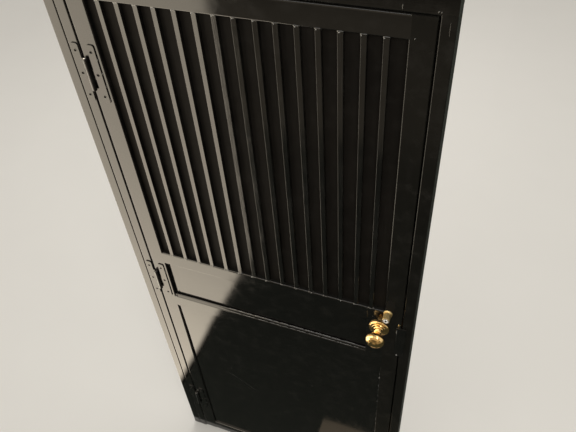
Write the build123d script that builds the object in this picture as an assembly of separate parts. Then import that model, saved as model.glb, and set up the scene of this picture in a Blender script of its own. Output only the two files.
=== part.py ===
from build123d import *
import os

# Barred steel entrance door in its frame, millimetres.
# X runs to the right seen from the street, Y runs into the building, Z runs up.
# The origin is on the floor, midway across the frame and in the middle of the leaf's depth.
# The pieces are drawn from the plane of the front faces, and moved back as they are written.

# Leaf size and the gaps around it
leaf_width = 813.0
leaf_height = 2063.0
floor_gap = 12.0
side_gap = 3.0
top_gap = 3.0

# Rectangular tubes of the leaf
tube_face = 50.0
tube_depth = 30.0
tube_wall = 3.0
tube_radius = 3.5
end_reach = 6.0

# Rectangular tubes of the frame
jamb_face = 30.0
frame_depth = 60.0
frame_wall = 3.0
frame_radius = 3.5
head_face = 40.0

# Height of the lock rail's centre above the floor, and of the panel under it
lock_rail_height = 1171.5
middle_panel_height = 169.0

# Barred bay, with each bar's own small shift off an even pitch
bar_size = 12.0
bar_count = 15
bar_setback = 1.0
bar_shifts = [-4.0, -1.4, 0.3, -0.5, 2.7, 3.9, 4.1, 3.3, 4.5, 2.7, 2.3, 0.5, 0.2, 0.9, -0.9]
bar_edge = 0.8

# Sheets
sheet_thick = 1.5
middle_thick = 3.0
middle_recess = 11.0
lower_recess = 7.5

# Stop bars behind the leaf
stop_width = 20.0
stop_thick = 5.0
stop_gap = 1.5

# Butt hinges
hinge_below_top = 242.0
hinge_above_bottom = 253.0
hinge_middle_rise = 8.0
hinge_length = 160.0
hinge_thick = 3.0
hinge_inner = 12.0
hinge_outer = 32.5
hinge_over_leaf = 7.0
knuckle_radius = 6.0
knuckle_length = 85.0
knuckle_lift = 0.3
knuckle_gap = 0.3
strap_relief = 0.5
pin_radius = 3.5
pin_fit = 0.06
pin_head_radius = 5.0
pin_head_height = 3.0
pin_head_round = 1.2
plate_corner = 6.0

# Countersunk screws
screw_radius = 2.2
screw_head_radius = 4.6
screw_length = 10.0
screw_gap = 0.1
screw_pitch = 61.0
screw_offset = 21.0
frame_screw_offset = 22.5
socket_radius = 2.3
socket_depth = 2.0

# Wall fixings through the jambs
fixing_radius = 4.5
fixing_depth = 48.0
fixing_above_floor = 300.0
fixing_below_top = 318.0
fixing_count = 4

# Knob and its roses
knob_backset = 62.0
knob_below_rail = 54.5
rose_radius = 30.0
rose_bore = 9.3
spindle_side = 8.0
spindle_gap = 0.1
spindle_hole = 11.0
spindle_reach = 36.5
socket_end = 0.5

# Mortice latch
case_height = 53.0
case_thick = 17.0
case_wall = 1.5
case_back = 87.5
faceplate_thick = 2.5
faceplate_width = 19.0
faceplate_height = 110.0
faceplate_screws = 47.0
latch_thick = 12.0
latch_height = 22.0
latch_throw = 12.0
slide_gap = 0.3
hub_radius = 9.0
hub_fit = 0.08
arm_width = 6.0
arm_reach = 16.0
post_width = 4.0
lost_motion = 2.0

# Lock cylinder
cylinder_backset = 40.0
cylinder_gap = 5.5
cylinder_reach = 28.0
cylinder_radius = 10.5
spigot_radius = 6.5
spigot_end = 3.0
bar_bore = 4.6
plug_end = 2.0
bar_seat = 4.0
bar_slot_gap = 0.2
key_depth = 17.0
plug_radius = 6.0
plug_fit = 0.05
key_width = 2.2
key_tall = 8.0
bar_wide = 8.0
bar_thick = 2.0

# Night latch on the inside
night_gap = 1.0
night_right = 38.0
night_tall = 84.0
night_depth = 32.0
night_wall = 2.5
night_bolt_height = 30.0
night_bolt_start = 7.0
night_bolt_thick = 12.0
night_throw = 14.0
night_hub = 8.0
night_arm = 18.0
bar_into_turn = 14.0
turn_start = 4.0
ear_tall = 12.0
ear_wide = 24.0
ear_offset = 13.5
stop_cut = 8.0

# Turn on the inside
turn_disc_radius = 16.5
turn_disc_thick = 6.0
turn_lift = 0.5
grip_thick = 8.0
grip_long = 28.0
grip_reach = 20.0
grip_round = 2.0

# Guard plate over the latch gap
guard_width = 25.5
guard_height = 136.0
guard_thick = 5.0
guard_on_leaf = 10.0
guard_below_knob = 112.0
guard_relief = 0.5
guard_round = 1.2

# Values that follow from the sizes above
frame_width = 3 * jamb_face + 2 * side_gap + leaf_width
frame_left = -frame_width / 2
frame_right = frame_width / 2
packing_right = frame_left + jamb_face
jamb_right_edge = packing_right + jamb_face
leaf_left = jamb_right_edge + side_gap
leaf_right = leaf_left + leaf_width
lock_jamb_left = leaf_right + side_gap
leaf_bottom = floor_gap
leaf_top = leaf_bottom + leaf_height
head_bottom = leaf_top + top_gap
frame_top = head_bottom + head_face
bay_left = leaf_left + tube_face
bay_right = leaf_right - tube_face
lock_box_left = bay_right - tube_face
lock_rail_top = lock_rail_height + tube_face / 2
lock_rail_bottom = lock_rail_height - tube_face / 2
mid_rail_top = lock_rail_bottom - middle_panel_height
mid_rail_bottom = mid_rail_top - tube_face
top_rail_bottom = leaf_top - tube_face
bottom_rail_top = leaf_bottom + tube_face
sheet_recess = bar_setback + bar_size
stop_front = tube_depth + stop_gap
hinge_x = leaf_left + hinge_over_leaf
hinge_y = -(knuckle_radius + knuckle_lift)
hinge_high = leaf_top - hinge_below_top
hinge_low = leaf_bottom + hinge_above_bottom
hinge_middle = (hinge_high + hinge_low) / 2 + hinge_middle_rise
hinge_heights = [hinge_high, hinge_middle, hinge_low]
fixing_pitch = (frame_top - fixing_below_top - fixing_above_floor) / (fixing_count - 1)
fixing_heights = [fixing_above_floor + i * fixing_pitch for i in range(fixing_count)]
knob_x = leaf_right - knob_backset
knob_height = lock_rail_height - knob_below_rail
cylinder_x = leaf_right - cylinder_backset
cylinder_height = knob_height + rose_radius + cylinder_gap + night_tall / 2
guard_bottom = knob_height - guard_below_knob
latch_middle = tube_depth / 2
night_left = (night_wall + night_gap + night_throw + post_width + lost_motion
              + arm_width / 2)
night_y = tube_depth + night_bolt_start + night_bolt_thick / 2
night_bottom = cylinder_height - night_tall / 2
night_top = cylinder_height + night_tall / 2


# Small helpers
def block(x0, x1, y0, y1, z0, z1):
    """Return a plain box between two corners."""
    size = Box(x1 - x0, y1 - y0, z1 - z0)
    return Pos((x0 + x1) / 2, (y0 + y1) / 2, (z0 + z1) / 2) * size


def rod(radius, x, z, y0, y1):
    """Return a round rod along Y at one place on the leaf's face."""
    lying = Rot(90, 0, 0) * Cylinder(radius, y1 - y0)
    return Pos(x, (y0 + y1) / 2, z) * lying


def cross_rod(radius, y, z, x0, x1):
    """Return a round rod along X."""
    lying = Rot(0, 90, 0) * Cylinder(radius, x1 - x0)
    return Pos((x0 + x1) / 2, y, z) * lying


def upright_tube(x0, x1, y0, y1, z0, z1, wall, radius):
    """Return a rectangular tube that stands along Z."""
    wide = x1 - x0
    deep = y1 - y0
    outer = RectangleRounded(wide, deep, radius)
    inner = RectangleRounded(wide - 2 * wall, deep - 2 * wall, radius - wall)
    tube = extrude(outer - inner, z1 - z0)
    return Pos((x0 + x1) / 2, (y0 + y1) / 2, z0) * tube


def level_tube(x0, x1, y0, y1, z0, z1, wall, radius):
    """Return a rectangular tube that lies along X."""
    tall = z1 - z0
    deep = y1 - y0
    outer = RectangleRounded(tall, deep, radius)
    inner = RectangleRounded(tall - 2 * wall, deep - 2 * wall, radius - wall)
    tube = Rot(0, 90, 0) * extrude(outer - inner, x1 - x0)
    return Pos(x0, (y0 + y1) / 2, (z0 + z1) / 2) * tube


def upright_form(x0, x1, y0, y1, z0, z1, radius):
    """Return the outer form of an upright tube, for fitting ends against it."""
    solid = extrude(RectangleRounded(x1 - x0, y1 - y0, radius), z1 - z0)
    return Pos((x0 + x1) / 2, (y0 + y1) / 2, z0) * solid


def level_form(x0, x1, y0, y1, z0, z1, radius):
    """Return the outer form of a level tube, for fitting ends against it."""
    solid = Rot(0, 90, 0) * extrude(RectangleRounded(z1 - z0, y1 - y0, radius), x1 - x0)
    return Pos(x0, (y0 + y1) / 2, (z0 + z1) / 2) * solid


def top_cap(x0, x1, y0, y1, top, wall):
    """Return the welded cap that closes the top of an upright tube."""
    margin = wall / 2
    return block(x0 + margin, x1 - margin, y0 + margin, y1 - margin, top - wall, top)


def turned(profile, x, z):
    """Return a solid turned about Y from points of radius and depth."""
    points = [(radius, 0, depth) for radius, depth in profile]
    wire = Polyline(*points, close=True)
    face = make_face(wire)
    solid = revolve(face, Axis.Z)
    return Pos(x, 0, z) * (Rot(-90, 0, 0) * solid)


def countersink(x, z, face, inward):
    """Return the conical seat that a screw head leaves in a plate."""
    cone = Cone(screw_head_radius + screw_gap, screw_radius + screw_gap,
                screw_head_radius - screw_radius)
    depth = screw_head_radius - screw_radius
    if inward > 0:
        placed = Rot(-90, 0, 0) * cone
    else:
        placed = Rot(90, 0, 0) * cone
    return Pos(x, face + inward * depth / 2, z) * placed


def screw_along_y(x, z, face, inward):
    """Return a countersunk screw whose head is flush with a face across Y."""
    depth = screw_head_radius - screw_radius
    cone = Cone(screw_head_radius, screw_radius, depth)
    shank = Pos(0, 0, (screw_length - depth) / 2 + depth / 2) * Cylinder(
        screw_radius, screw_length - depth)
    socket = extrude(RegularPolygon(socket_radius, 6), socket_depth)
    body = cone + shank - Pos(0, 0, -depth / 2) * socket
    body = Pos(0, 0, depth / 2) * body
    if inward > 0:
        body = Rot(-90, 0, 0) * body
    else:
        body = Rot(90, 0, 0) * body
    return Pos(x, face, z) * body


# Frame members
def drill_fixings(tube, x0, x1):
    """Cut the wall fixing holes through an upright tube."""
    for height in fixing_heights:
        tube = tube - cross_rod(fixing_radius, fixing_depth, height, x0 - 1, x1 + 1)
    return tube


def make_packing_tube():
    """Packing tube between the hinge jamb and the wall."""
    tube = upright_tube(frame_left, packing_right, 0, frame_depth, 0, frame_top,
                        frame_wall, frame_radius)
    tube = tube + top_cap(frame_left, packing_right, 0, frame_depth, frame_top, frame_wall)
    return drill_fixings(tube, frame_left, packing_right)


def hinge_screw_heights():
    """List the heights of all hinge screws."""
    heights = []
    for middle in hinge_heights:
        for step in (-1, 0, 1):
            heights.append(middle + step * screw_pitch)
    return heights


def head_form():
    """Outer form of the head tube."""
    return level_form(packing_right, frame_right, 0, frame_depth, head_bottom, frame_top,
                      frame_radius)


def make_jamb(x0, x1):
    """Upright frame tube, its top end shaped to the underside of the head."""
    tube = upright_tube(x0, x1, 0, frame_depth, 0, head_bottom + frame_radius, frame_wall,
                        frame_radius)
    return tube - head_form()


def make_jamb_left():
    """Hinge jamb with holes for the hinge screws."""
    tube = make_jamb(packing_right, jamb_right_edge)
    for height in hinge_screw_heights():
        tube = tube - rod(screw_radius + screw_gap, hinge_x - frame_screw_offset, height,
                          -1, frame_wall + 1)
    return drill_fixings(tube, packing_right, jamb_right_edge)


def make_jamb_right():
    """Lock jamb with a slot for each bolt."""
    tube = make_jamb(lock_jamb_left, frame_right)
    latch_slot = block(lock_jamb_left - 1, lock_jamb_left + frame_wall + 1,
                       latch_middle - latch_thick / 2 - 1, latch_middle + latch_thick / 2 + 1,
                       knob_height - latch_height / 2 - 1, knob_height + latch_height / 2 + 1)
    night_slot = block(lock_jamb_left - 1, lock_jamb_left + frame_wall + 1,
                       night_y - night_bolt_thick / 2 - 1, night_y + night_bolt_thick / 2 + 1,
                       cylinder_height - night_bolt_height / 2 - 1,
                       cylinder_height + night_bolt_height / 2 + 1)
    tube = tube - latch_slot - night_slot
    return drill_fixings(tube, lock_jamb_left, frame_right)


def make_head():
    """Head tube over both jambs."""
    tube = level_tube(packing_right, frame_right, 0, frame_depth, head_bottom, frame_top,
                      frame_wall, frame_radius)
    margin = frame_wall / 2
    cap = block(frame_right - frame_wall, frame_right, margin, frame_depth - margin,
                head_bottom + margin, frame_top - margin)
    return tube + cap


def make_stop(x0, x1, z0, z1):
    """Flat stop bar behind the leaf."""
    bar = block(x0, x1, stop_front, stop_front + stop_thick, z0, z1)
    return bar


# Hinges
def plate_outline(side, middle):
    """Flat plate of a hinge with rounded corners."""
    wide = hinge_outer - hinge_inner
    flat = RectangleRounded(wide, hinge_length, plate_corner)
    plate = Rot(90, 0, 0) * extrude(flat, hinge_thick)
    return Pos(hinge_x + side * (hinge_inner + hinge_outer) / 2, 0, middle) * plate


def knuckle(side, z0, z1):
    """One knuckle with the strap that joins it to its plate."""
    far = hinge_x + side * (hinge_inner + 1)
    low = min(hinge_x, far)
    high = max(hinge_x, far)
    relief = strap_relief if side < 0 else 0.0
    strap = block(low, high, -hinge_thick, -relief, z0, z1)
    barrel = Pos(hinge_x, hinge_y, (z0 + z1) / 2) * Cylinder(knuckle_radius, z1 - z0)
    return strap + barrel


def make_hinge_plate(side, middle):
    """One side of a hinge: two knuckles on the frame, one on the leaf."""
    third = knuckle_length / 6
    half = knuckle_length / 2
    plate = plate_outline(side, middle)
    if side < 0:
        plate = plate + knuckle(side, middle + third + knuckle_gap, middle + half)
        plate = plate + knuckle(side, middle - half, middle - third - knuckle_gap)
    else:
        plate = plate + knuckle(side, middle - third, middle + third)
    bore = Pos(hinge_x, hinge_y, middle) * Cylinder(pin_radius + pin_fit, knuckle_length + 2)
    plate = plate - bore
    offset = frame_screw_offset if side < 0 else screw_offset
    for step in (-1, 0, 1):
        x = hinge_x + side * offset
        z = middle + step * screw_pitch
        plate = plate - countersink(x, z, -hinge_thick, 1)
        plate = plate - rod(screw_radius + screw_gap, x, z, -hinge_thick - 1, 1)
    return plate


def make_pin(middle):
    """Hinge pin with a low button head."""
    low = middle - knuckle_length / 2
    high = middle + knuckle_length / 2
    shank = Pos(hinge_x, hinge_y, (low + high) / 2) * Cylinder(pin_radius, high - low)
    head = Pos(hinge_x, hinge_y, high + pin_head_height / 2) * Cylinder(
        pin_head_radius, pin_head_height)
    head = fillet(head.edges().group_by(Axis.Z)[-1], pin_head_round)
    return shank + head


# Leaf tubes
def make_stile_hinge():
    """Hinge stile with holes for the hinge screws."""
    tube = upright_tube(leaf_left, bay_left, 0, tube_depth, leaf_bottom, leaf_top,
                        tube_wall, tube_radius)
    tube = tube + top_cap(leaf_left, bay_left, 0, tube_depth, leaf_top, tube_wall)
    for height in hinge_screw_heights():
        tube = tube - rod(screw_radius + screw_gap, hinge_x + screw_offset, height,
                          -1, tube_wall + 1)
    return tube


def faceplate_seat():
    """Rebate in the edge of the lock stile that takes the faceplate."""
    return block(leaf_right - faceplate_thick, leaf_right + 1,
                 latch_middle - faceplate_width / 2, latch_middle + faceplate_width / 2,
                 knob_height - faceplate_height / 2, knob_height + faceplate_height / 2)


def case_pocket(margin):
    """Space that the latch case needs inside the tubes."""
    return block(leaf_right - case_back - margin, leaf_right + 1,
                 latch_middle - case_thick / 2 - margin,
                 latch_middle + case_thick / 2 + margin,
                 knob_height - case_height / 2 - margin,
                 knob_height + case_height / 2 + margin)


def make_stile_lock():
    """Lock stile, cut for the latch and for the lock cylinder."""
    tube = upright_tube(bay_right, leaf_right, 0, tube_depth, leaf_bottom, leaf_top,
                        tube_wall, tube_radius)
    tube = tube + top_cap(bay_right, leaf_right, 0, tube_depth, leaf_top, tube_wall)
    tube = tube - faceplate_seat() - case_pocket(0.2)
    for step in (-1, 1):
        z = knob_height + step * faceplate_screws
        tube = tube - cross_rod(screw_radius + screw_gap, latch_middle, z,
                                leaf_right - tube_wall - 1, leaf_right)
    tube = tube - rod(spigot_radius + slide_gap, cylinder_x, cylinder_height, -1,
                      tube_depth + 1)
    for z in (night_bottom - ear_tall / 2, night_top + ear_tall / 2):
        tube = tube - rod(screw_radius + screw_gap, cylinder_x + ear_offset, z,
                          tube_depth - tube_wall - 1, tube_depth + 1)
    return tube


def top_edge_cut(x0, x1, top):
    """Waste that rounds the long top edges in line with the lock rail."""
    waste = block(x0, x1, -1, tube_radius, top - tube_radius, top + 1)
    waste = waste + block(x0, x1, tube_depth - tube_radius, tube_depth + 1,
                          top - tube_radius, top + 1)
    for y in (tube_radius, tube_depth - tube_radius):
        waste = waste - cross_rod(tube_radius, y, top - tube_radius, x0 - 1, x1 + 1)
    return waste


def make_lock_box():
    """Short upright tube that widens the stile for the latch."""
    low = mid_rail_top - tube_radius
    tube = upright_tube(lock_box_left, bay_right, 0, tube_depth, low, lock_rail_top,
                        tube_wall, tube_radius)
    tube = tube + top_cap(lock_box_left, bay_right, 0, tube_depth, lock_rail_top, tube_wall)
    for y0, y1 in ((0, tube_radius), (tube_depth - tube_radius, tube_depth)):
        seam = block(bay_right - tube_radius, bay_right + tube_radius, y0, y1, low,
                     lock_rail_top)
        tube = tube + (seam - stile_form(bay_right, leaf_right))
    tube = tube - rail_form(mid_rail_bottom, mid_rail_top)
    tube = tube - top_edge_cut(lock_box_left - 1, bay_right + tube_radius + 1, lock_rail_top)
    tube = tube - case_pocket(0.2)
    tube = tube - rod(spindle_hole, knob_x, knob_height, -1, tube_depth + 1)
    return tube


def stile_form(x0, x1):
    """Outer form of one stile."""
    return upright_form(x0, x1, 0, tube_depth, leaf_bottom, leaf_top, tube_radius)


def lock_box_form():
    """Outer form of the lock box tube."""
    return upright_form(lock_box_left, bay_right, 0, tube_depth, mid_rail_top, lock_rail_top,
                        tube_radius)


def rail_form(z0, z1):
    """Outer form of a rail between the stiles."""
    return level_form(bay_left - end_reach, bay_right + end_reach, 0, tube_depth, z0, z1,
                      tube_radius)


def make_rail(x1, z0, z1):
    """Level tube of the leaf, its ends shaped to the tubes that it meets."""
    tube = level_tube(bay_left - end_reach, x1 + end_reach, 0, tube_depth, z0, z1,
                      tube_wall, tube_radius)
    tube = tube - stile_form(leaf_left, bay_left)
    tube = tube - stile_form(bay_right, leaf_right)
    if x1 < bay_right:
        tube = tube - lock_box_form()
        tube = tube - block(x1 + tube_radius / 2, x1 + end_reach, tube_radius,
                            tube_depth - tube_radius, z0, z1)
    return tube


# Bars and sheets
def bar_middle(number):
    """Place of one bar across the bay."""
    gap = (bay_right - bay_left - bar_count * bar_size) / (bar_count + 1)
    even = bay_left + gap + bar_size / 2 + number * (gap + bar_size)
    return even + bar_shifts[number]


def make_bar(number):
    """Square bar with softly rounded long edges."""
    section = RectangleRounded(bar_size, bar_size, bar_edge)
    low = lock_rail_top - tube_radius
    bar = extrude(section, top_rail_bottom + tube_radius - low)
    bar = Pos(bar_middle(number), bar_setback + bar_size / 2, low) * bar
    bar = bar - rail_form(lock_rail_bottom, lock_rail_top)
    return bar - rail_form(top_rail_bottom, leaf_top)


def make_sheet(x0, x1, z0, z1, recess, thick):
    """Flat sheet let in between the tubes."""
    return block(x0, x1, recess, recess + thick, z0, z1)


# Guard plate
def make_guard_plate():
    """Guard plate welded to the lock stile, clear of the jamb."""
    x0 = leaf_right - guard_on_leaf
    plate = block(x0, x0 + guard_width, -guard_thick, 0, guard_bottom,
                  guard_bottom + guard_height)
    rims = plate.edges().filter_by(Axis.Z).group_by(Axis.Y)[0]
    plate = fillet(rims, guard_round)
    step = block(leaf_right + 1, x0 + guard_width + 1, -guard_relief, 1,
                 guard_bottom - 1, guard_bottom + guard_height + 1)
    return plate - step


# Mortice latch
def make_latch_case():
    """Thin steel box, open towards the faceplate."""
    x0 = leaf_right - case_back
    x1 = leaf_right - faceplate_thick
    y0 = latch_middle - case_thick / 2
    y1 = latch_middle + case_thick / 2
    z0 = knob_height - case_height / 2
    z1 = knob_height + case_height / 2
    box = block(x0, x1, y0, y1, z0, z1)
    room = block(x0 + case_wall, x1 + 1, y0 + case_wall, y1 - case_wall, z0 + case_wall,
                 z1 - case_wall)
    box = box - room
    return box - rod(hub_radius - 1 + hub_fit, knob_x, knob_height, y0 - 1, y1 + 1)


def make_faceplate():
    """Faceplate with the bolt's window and two screw holes."""
    plate = block(leaf_right - faceplate_thick, leaf_right,
                  latch_middle - faceplate_width / 2 + 0.1,
                  latch_middle + faceplate_width / 2 - 0.1,
                  knob_height - faceplate_height / 2 + 0.1,
                  knob_height + faceplate_height / 2 - 0.1)
    window = block(leaf_right - faceplate_thick - 1, leaf_right + 1,
                   latch_middle - latch_thick / 2 - slide_gap,
                   latch_middle + latch_thick / 2 + slide_gap,
                   knob_height - latch_height / 2 - slide_gap,
                   knob_height + latch_height / 2 + slide_gap)
    plate = plate - window
    for step in (-1, 1):
        z = knob_height + step * faceplate_screws
        plate = plate - edge_countersink(z)
        plate = plate - cross_rod(screw_radius + screw_gap, latch_middle, z,
                                  leaf_right - faceplate_thick - 1, leaf_right + 1)
    return plate


def edge_countersink(z):
    """Conical seat for a screw in the leaf's edge."""
    depth = screw_head_radius - screw_radius
    cone = Cone(screw_radius + screw_gap, screw_head_radius + screw_gap, depth)
    return Pos(leaf_right - depth / 2, latch_middle, z) * (Rot(0, 90, 0) * cone)


def edge_screw(z):
    """Countersunk screw in the leaf's edge."""
    depth = screw_head_radius - screw_radius
    cone = Cone(screw_radius, screw_head_radius, depth)
    shank = Pos(0, 0, -screw_length / 2) * Cylinder(screw_radius, screw_length - depth)
    socket = extrude(RegularPolygon(socket_radius, 6), -socket_depth)
    body = cone + shank - Pos(0, 0, depth / 2) * socket
    return Pos(leaf_right - depth / 2, latch_middle, z) * (Rot(0, 90, 0) * body)


def make_follower():
    """Follower that the spindle turns, with the arm that draws the bolt."""
    y0 = latch_middle - case_thick / 2
    y1 = latch_middle + case_thick / 2
    hub = rod(hub_radius, knob_x, knob_height, y0 + case_wall + slide_gap,
              y1 - case_wall - slide_gap)
    journal = rod(hub_radius - 1, knob_x, knob_height, y0, y1)
    arm = block(knob_x - arm_width / 2, knob_x + arm_width / 2, latch_middle - 4,
                latch_middle + 4, knob_height, knob_height + arm_reach)
    side = spindle_side / 2 + spindle_gap
    hole = block(knob_x - side, knob_x + side, y0 - 1, y1 + 1, knob_height - side,
                 knob_height + side)
    return hub + journal + arm - hole


def bevelled_head(x0, x1, flush, y0, y1, z0, z1):
    """Bolt head, bevelled on the side that meets the jamb as the leaf shuts."""
    points = [(x0, y0), (x1, y0), (x1, y0 + 2), (flush, y1), (x0, y1)]
    face = make_face(Polyline(*points, close=True))
    return Pos(0, 0, z0) * extrude(face, z1 - z0)


def make_latch_bolt():
    """Latch bolt with its tail and the post that the follower pulls."""
    y0 = latch_middle - latch_thick / 2
    y1 = latch_middle + latch_thick / 2
    half = latch_height / 2
    head = bevelled_head(leaf_right - 12, leaf_right + latch_throw, leaf_right, y0, y1,
                         knob_height - half, knob_height + half)
    tail_low = knob_height + arm_reach + 1.5
    tail_high = tail_low + 5
    web = block(leaf_right - 20, leaf_right - 12, latch_middle - 3, latch_middle + 3,
                knob_height - half, tail_high)
    post_right = knob_x - arm_width / 2 - lost_motion
    tail = block(post_right - post_width, leaf_right - 20, latch_middle - 3, latch_middle + 3,
                 tail_low, tail_high)
    post = block(post_right - post_width, post_right, latch_middle - 3, latch_middle + 3,
                 knob_height + hub_radius - 0.5, tail_high)
    return head + web + tail + post


# Knobs and roses
rose_profile = [(rose_bore, 0), (rose_radius, 0), (rose_radius, 3.4), (29.2, 4.8),
                (27.8, 5.2), (27.0, 6.2), (24.6, 7.0), (21.0, 7.2), (20.2, 8.4),
                (17.6, 9.2), (14.6, 9.4), (13.6, 11.2), (12.0, 12.0), (rose_bore, 12.2)]

knob_profile = [(0, 3.0), (8.9, 3.0), (8.9, 13.0), (8.0, 14.8), (8.4, 16.2), (10.4, 17.4),
                (11.0, 19.0), (10.2, 20.6), (8.4, 21.8), (8.8, 24.0), (10.6, 27.0),
                (14.0, 30.0), (18.6, 33.0), (23.0, 36.4), (26.0, 40.2), (27.4, 44.4),
                (27.5, 47.4), (26.6, 51.4), (24.2, 55.6), (20.0, 59.4), (13.8, 62.8),
                (7.0, 64.8), (0, 65.4)]


def facing(profile, x, z, inside):
    """Turn a profile outward from the front face, or inward from the back face."""
    sign = 1 if inside else -1
    base = tube_depth if inside else 0
    placed = [(radius, base + sign * depth) for radius, depth in profile]
    return turned(placed, x, z)


def make_rose(inside):
    """Stepped rose around the knob's neck."""
    return facing(rose_profile, knob_x, knob_height, inside)


def make_knob(inside):
    """Turned centre knob with a square socket for the spindle."""
    knob = facing(knob_profile, knob_x, knob_height, inside)
    side = spindle_side / 2 + spindle_gap
    end = spindle_reach + socket_end
    low = -end if not inside else 0
    high = 0 if not inside else tube_depth + end
    hole = block(knob_x - side, knob_x + side, low, high, knob_height - side,
                 knob_height + side)
    return knob - hole


def make_spindle():
    """Square spindle through both knobs and the follower."""
    half = spindle_side / 2
    return block(knob_x - half, knob_x + half, -spindle_reach, tube_depth + spindle_reach,
                 knob_height - half, knob_height + half)


# Lock cylinder
def make_cylinder_body():
    """Cylinder head outside, with the spigot that goes through the stile."""
    profile = [(0, 0), (cylinder_radius, 0), (cylinder_radius, -(cylinder_reach - 1.2)),
               (cylinder_radius - 1.2, -cylinder_reach), (0, -cylinder_reach)]
    body = turned(profile, cylinder_x, cylinder_height)
    body = body + rod(spigot_radius, cylinder_x, cylinder_height, -1, tube_depth + spigot_end)
    body = body - rod(plug_radius + plug_fit, cylinder_x, cylinder_height,
                      -cylinder_reach - 1, 0.5 - plug_end)
    return body - rod(bar_bore, cylinder_x, cylinder_height, -plug_end,
                      tube_depth + spigot_end + 1)


def make_cylinder_ring():
    """Tapered ring around the foot of the cylinder."""
    inner = cylinder_radius + 0.1
    profile = [(inner, 0), (13.0, 0), (12.8, -2.4), (12.0, -4.6), (inner, -5.0)]
    return turned(profile, cylinder_x, cylinder_height)


def flat_slot(wide, tall, y0, y1):
    """Upright slot on the cylinder's axis."""
    return block(cylinder_x - wide / 2, cylinder_x + wide / 2, y0, y1,
                 cylinder_height - tall / 2, cylinder_height + tall / 2)


def make_cylinder_plug():
    """Plug with the key slot in front and the bar's slot behind."""
    plug = rod(plug_radius, cylinder_x, cylinder_height, -cylinder_reach - 0.4, -plug_end)
    plug = plug - flat_slot(key_width, key_tall, -cylinder_reach - 2,
                            -cylinder_reach + key_depth)
    return plug - flat_slot(bar_thick + bar_slot_gap, bar_wide + bar_slot_gap,
                            -plug_end - bar_seat, 0)


def make_connecting_bar():
    """Flat bar from the plug to the night latch."""
    return flat_slot(bar_thick, bar_wide, bar_slot_gap - plug_end - bar_seat,
                     tube_depth + bar_into_turn)


# Night latch
def make_night_case():
    """Cast case on the inside face, with an ear at each end."""
    x0 = cylinder_x - night_left
    x1 = cylinder_x + night_right
    y0 = tube_depth
    y1 = tube_depth + night_depth
    case = block(x0, x1, y0, y1, night_bottom, night_top)
    case = fillet(case.edges().group_by(Axis.Y)[-1], 3.0)
    room = block(x0 + night_wall, x1 - night_wall, y0 - 1, y1 - night_wall,
                 night_bottom + night_wall, night_top - night_wall)
    case = case - room
    ear_x = cylinder_x + ear_offset
    for z in (night_bottom - ear_tall, night_top):
        case = case + block(ear_x - ear_wide / 2, ear_x + ear_wide / 2, y0,
                            y0 + hinge_thick, z, z + ear_tall)
    case = case - block(x1 - night_wall - 1, x1 + 1,
                        night_y - night_bolt_thick / 2 - slide_gap,
                        night_y + night_bolt_thick / 2 + slide_gap,
                        cylinder_height - night_bolt_height / 2 - slide_gap,
                        cylinder_height + night_bolt_height / 2 + slide_gap)
    case = case - rod(night_hub + hub_fit, cylinder_x, cylinder_height, y1 - 5, y1 + 1)
    for z in (night_bottom - ear_tall / 2, night_top + ear_tall / 2):
        case = case - countersink(ear_x, z, y0 + hinge_thick, -1)
        case = case - rod(screw_radius + screw_gap, ear_x, z, y0 - 1, y0 + 4)
    return case


def make_night_bolt():
    """Night latch bolt with its tail and post."""
    y0 = night_y - night_bolt_thick / 2
    y1 = night_y + night_bolt_thick / 2
    half = night_bolt_height / 2
    back = cylinder_x + night_hub + night_throw + 0.8
    head = bevelled_head(back, leaf_right + night_throw, leaf_right, y0, y1,
                         cylinder_height - half, cylinder_height + half)
    tail_low = cylinder_height + night_arm + 1.5
    tail_high = tail_low + 5
    web = block(back - 8, back, night_y - 3, night_y + 3, cylinder_height + night_hub + 2,
                tail_high)
    step = block(back, back + 6, night_y - 3, night_y + 3, cylinder_height + half - 3,
                 tail_high)
    post_right = cylinder_x - arm_width / 2 - lost_motion
    tail = block(post_right - post_width, back - 8, night_y - 3, night_y + 3, tail_low,
                 tail_high)
    post = block(post_right - post_width, post_right, night_y - 3, night_y + 3,
                 cylinder_height + night_hub + 1, tail_high)
    return head + web + step + tail + post


def make_night_turn():
    """Inside turn with its shaft and the arm that draws the bolt."""
    back = tube_depth + night_depth
    shaft = rod(night_hub, cylinder_x, cylinder_height, tube_depth + turn_start, back + 1)
    arm = block(cylinder_x - arm_width / 2, cylinder_x + arm_width / 2, night_y - 4,
                night_y + 4, cylinder_height, cylinder_height + night_arm)
    front = back + turn_lift
    wide = turn_disc_radius
    deep = turn_disc_thick
    profile = [(0, front), (0.94 * wide, front), (wide, front + 0.25 * deep),
               (wide, front + 0.6 * deep), (0.9 * wide, front + 0.85 * deep),
               (0.55 * wide, front + deep), (0, front + deep)]
    disc = turned(profile, cylinder_x, cylinder_height)
    grip = block(cylinder_x - grip_thick / 2, cylinder_x + grip_thick / 2,
                 front + deep / 2, back + grip_reach, cylinder_height - grip_long / 2,
                 cylinder_height + grip_long / 2)
    grip = fillet(grip.edges().filter_by(Axis.Z), grip_round)
    slot = flat_slot(bar_thick + 2 * bar_slot_gap, bar_wide + 2 * bar_slot_gap,
                     tube_depth + turn_start - 1, tube_depth + bar_into_turn + 1)
    return shaft + arm + disc + grip - slot


# Groups of screws
def make_frame_screws():
    """Countersunk screws of the hinge plates on the frame."""
    x = hinge_x - frame_screw_offset
    return [screw_along_y(x, z, -hinge_thick, 1) for z in hinge_screw_heights()]


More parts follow.
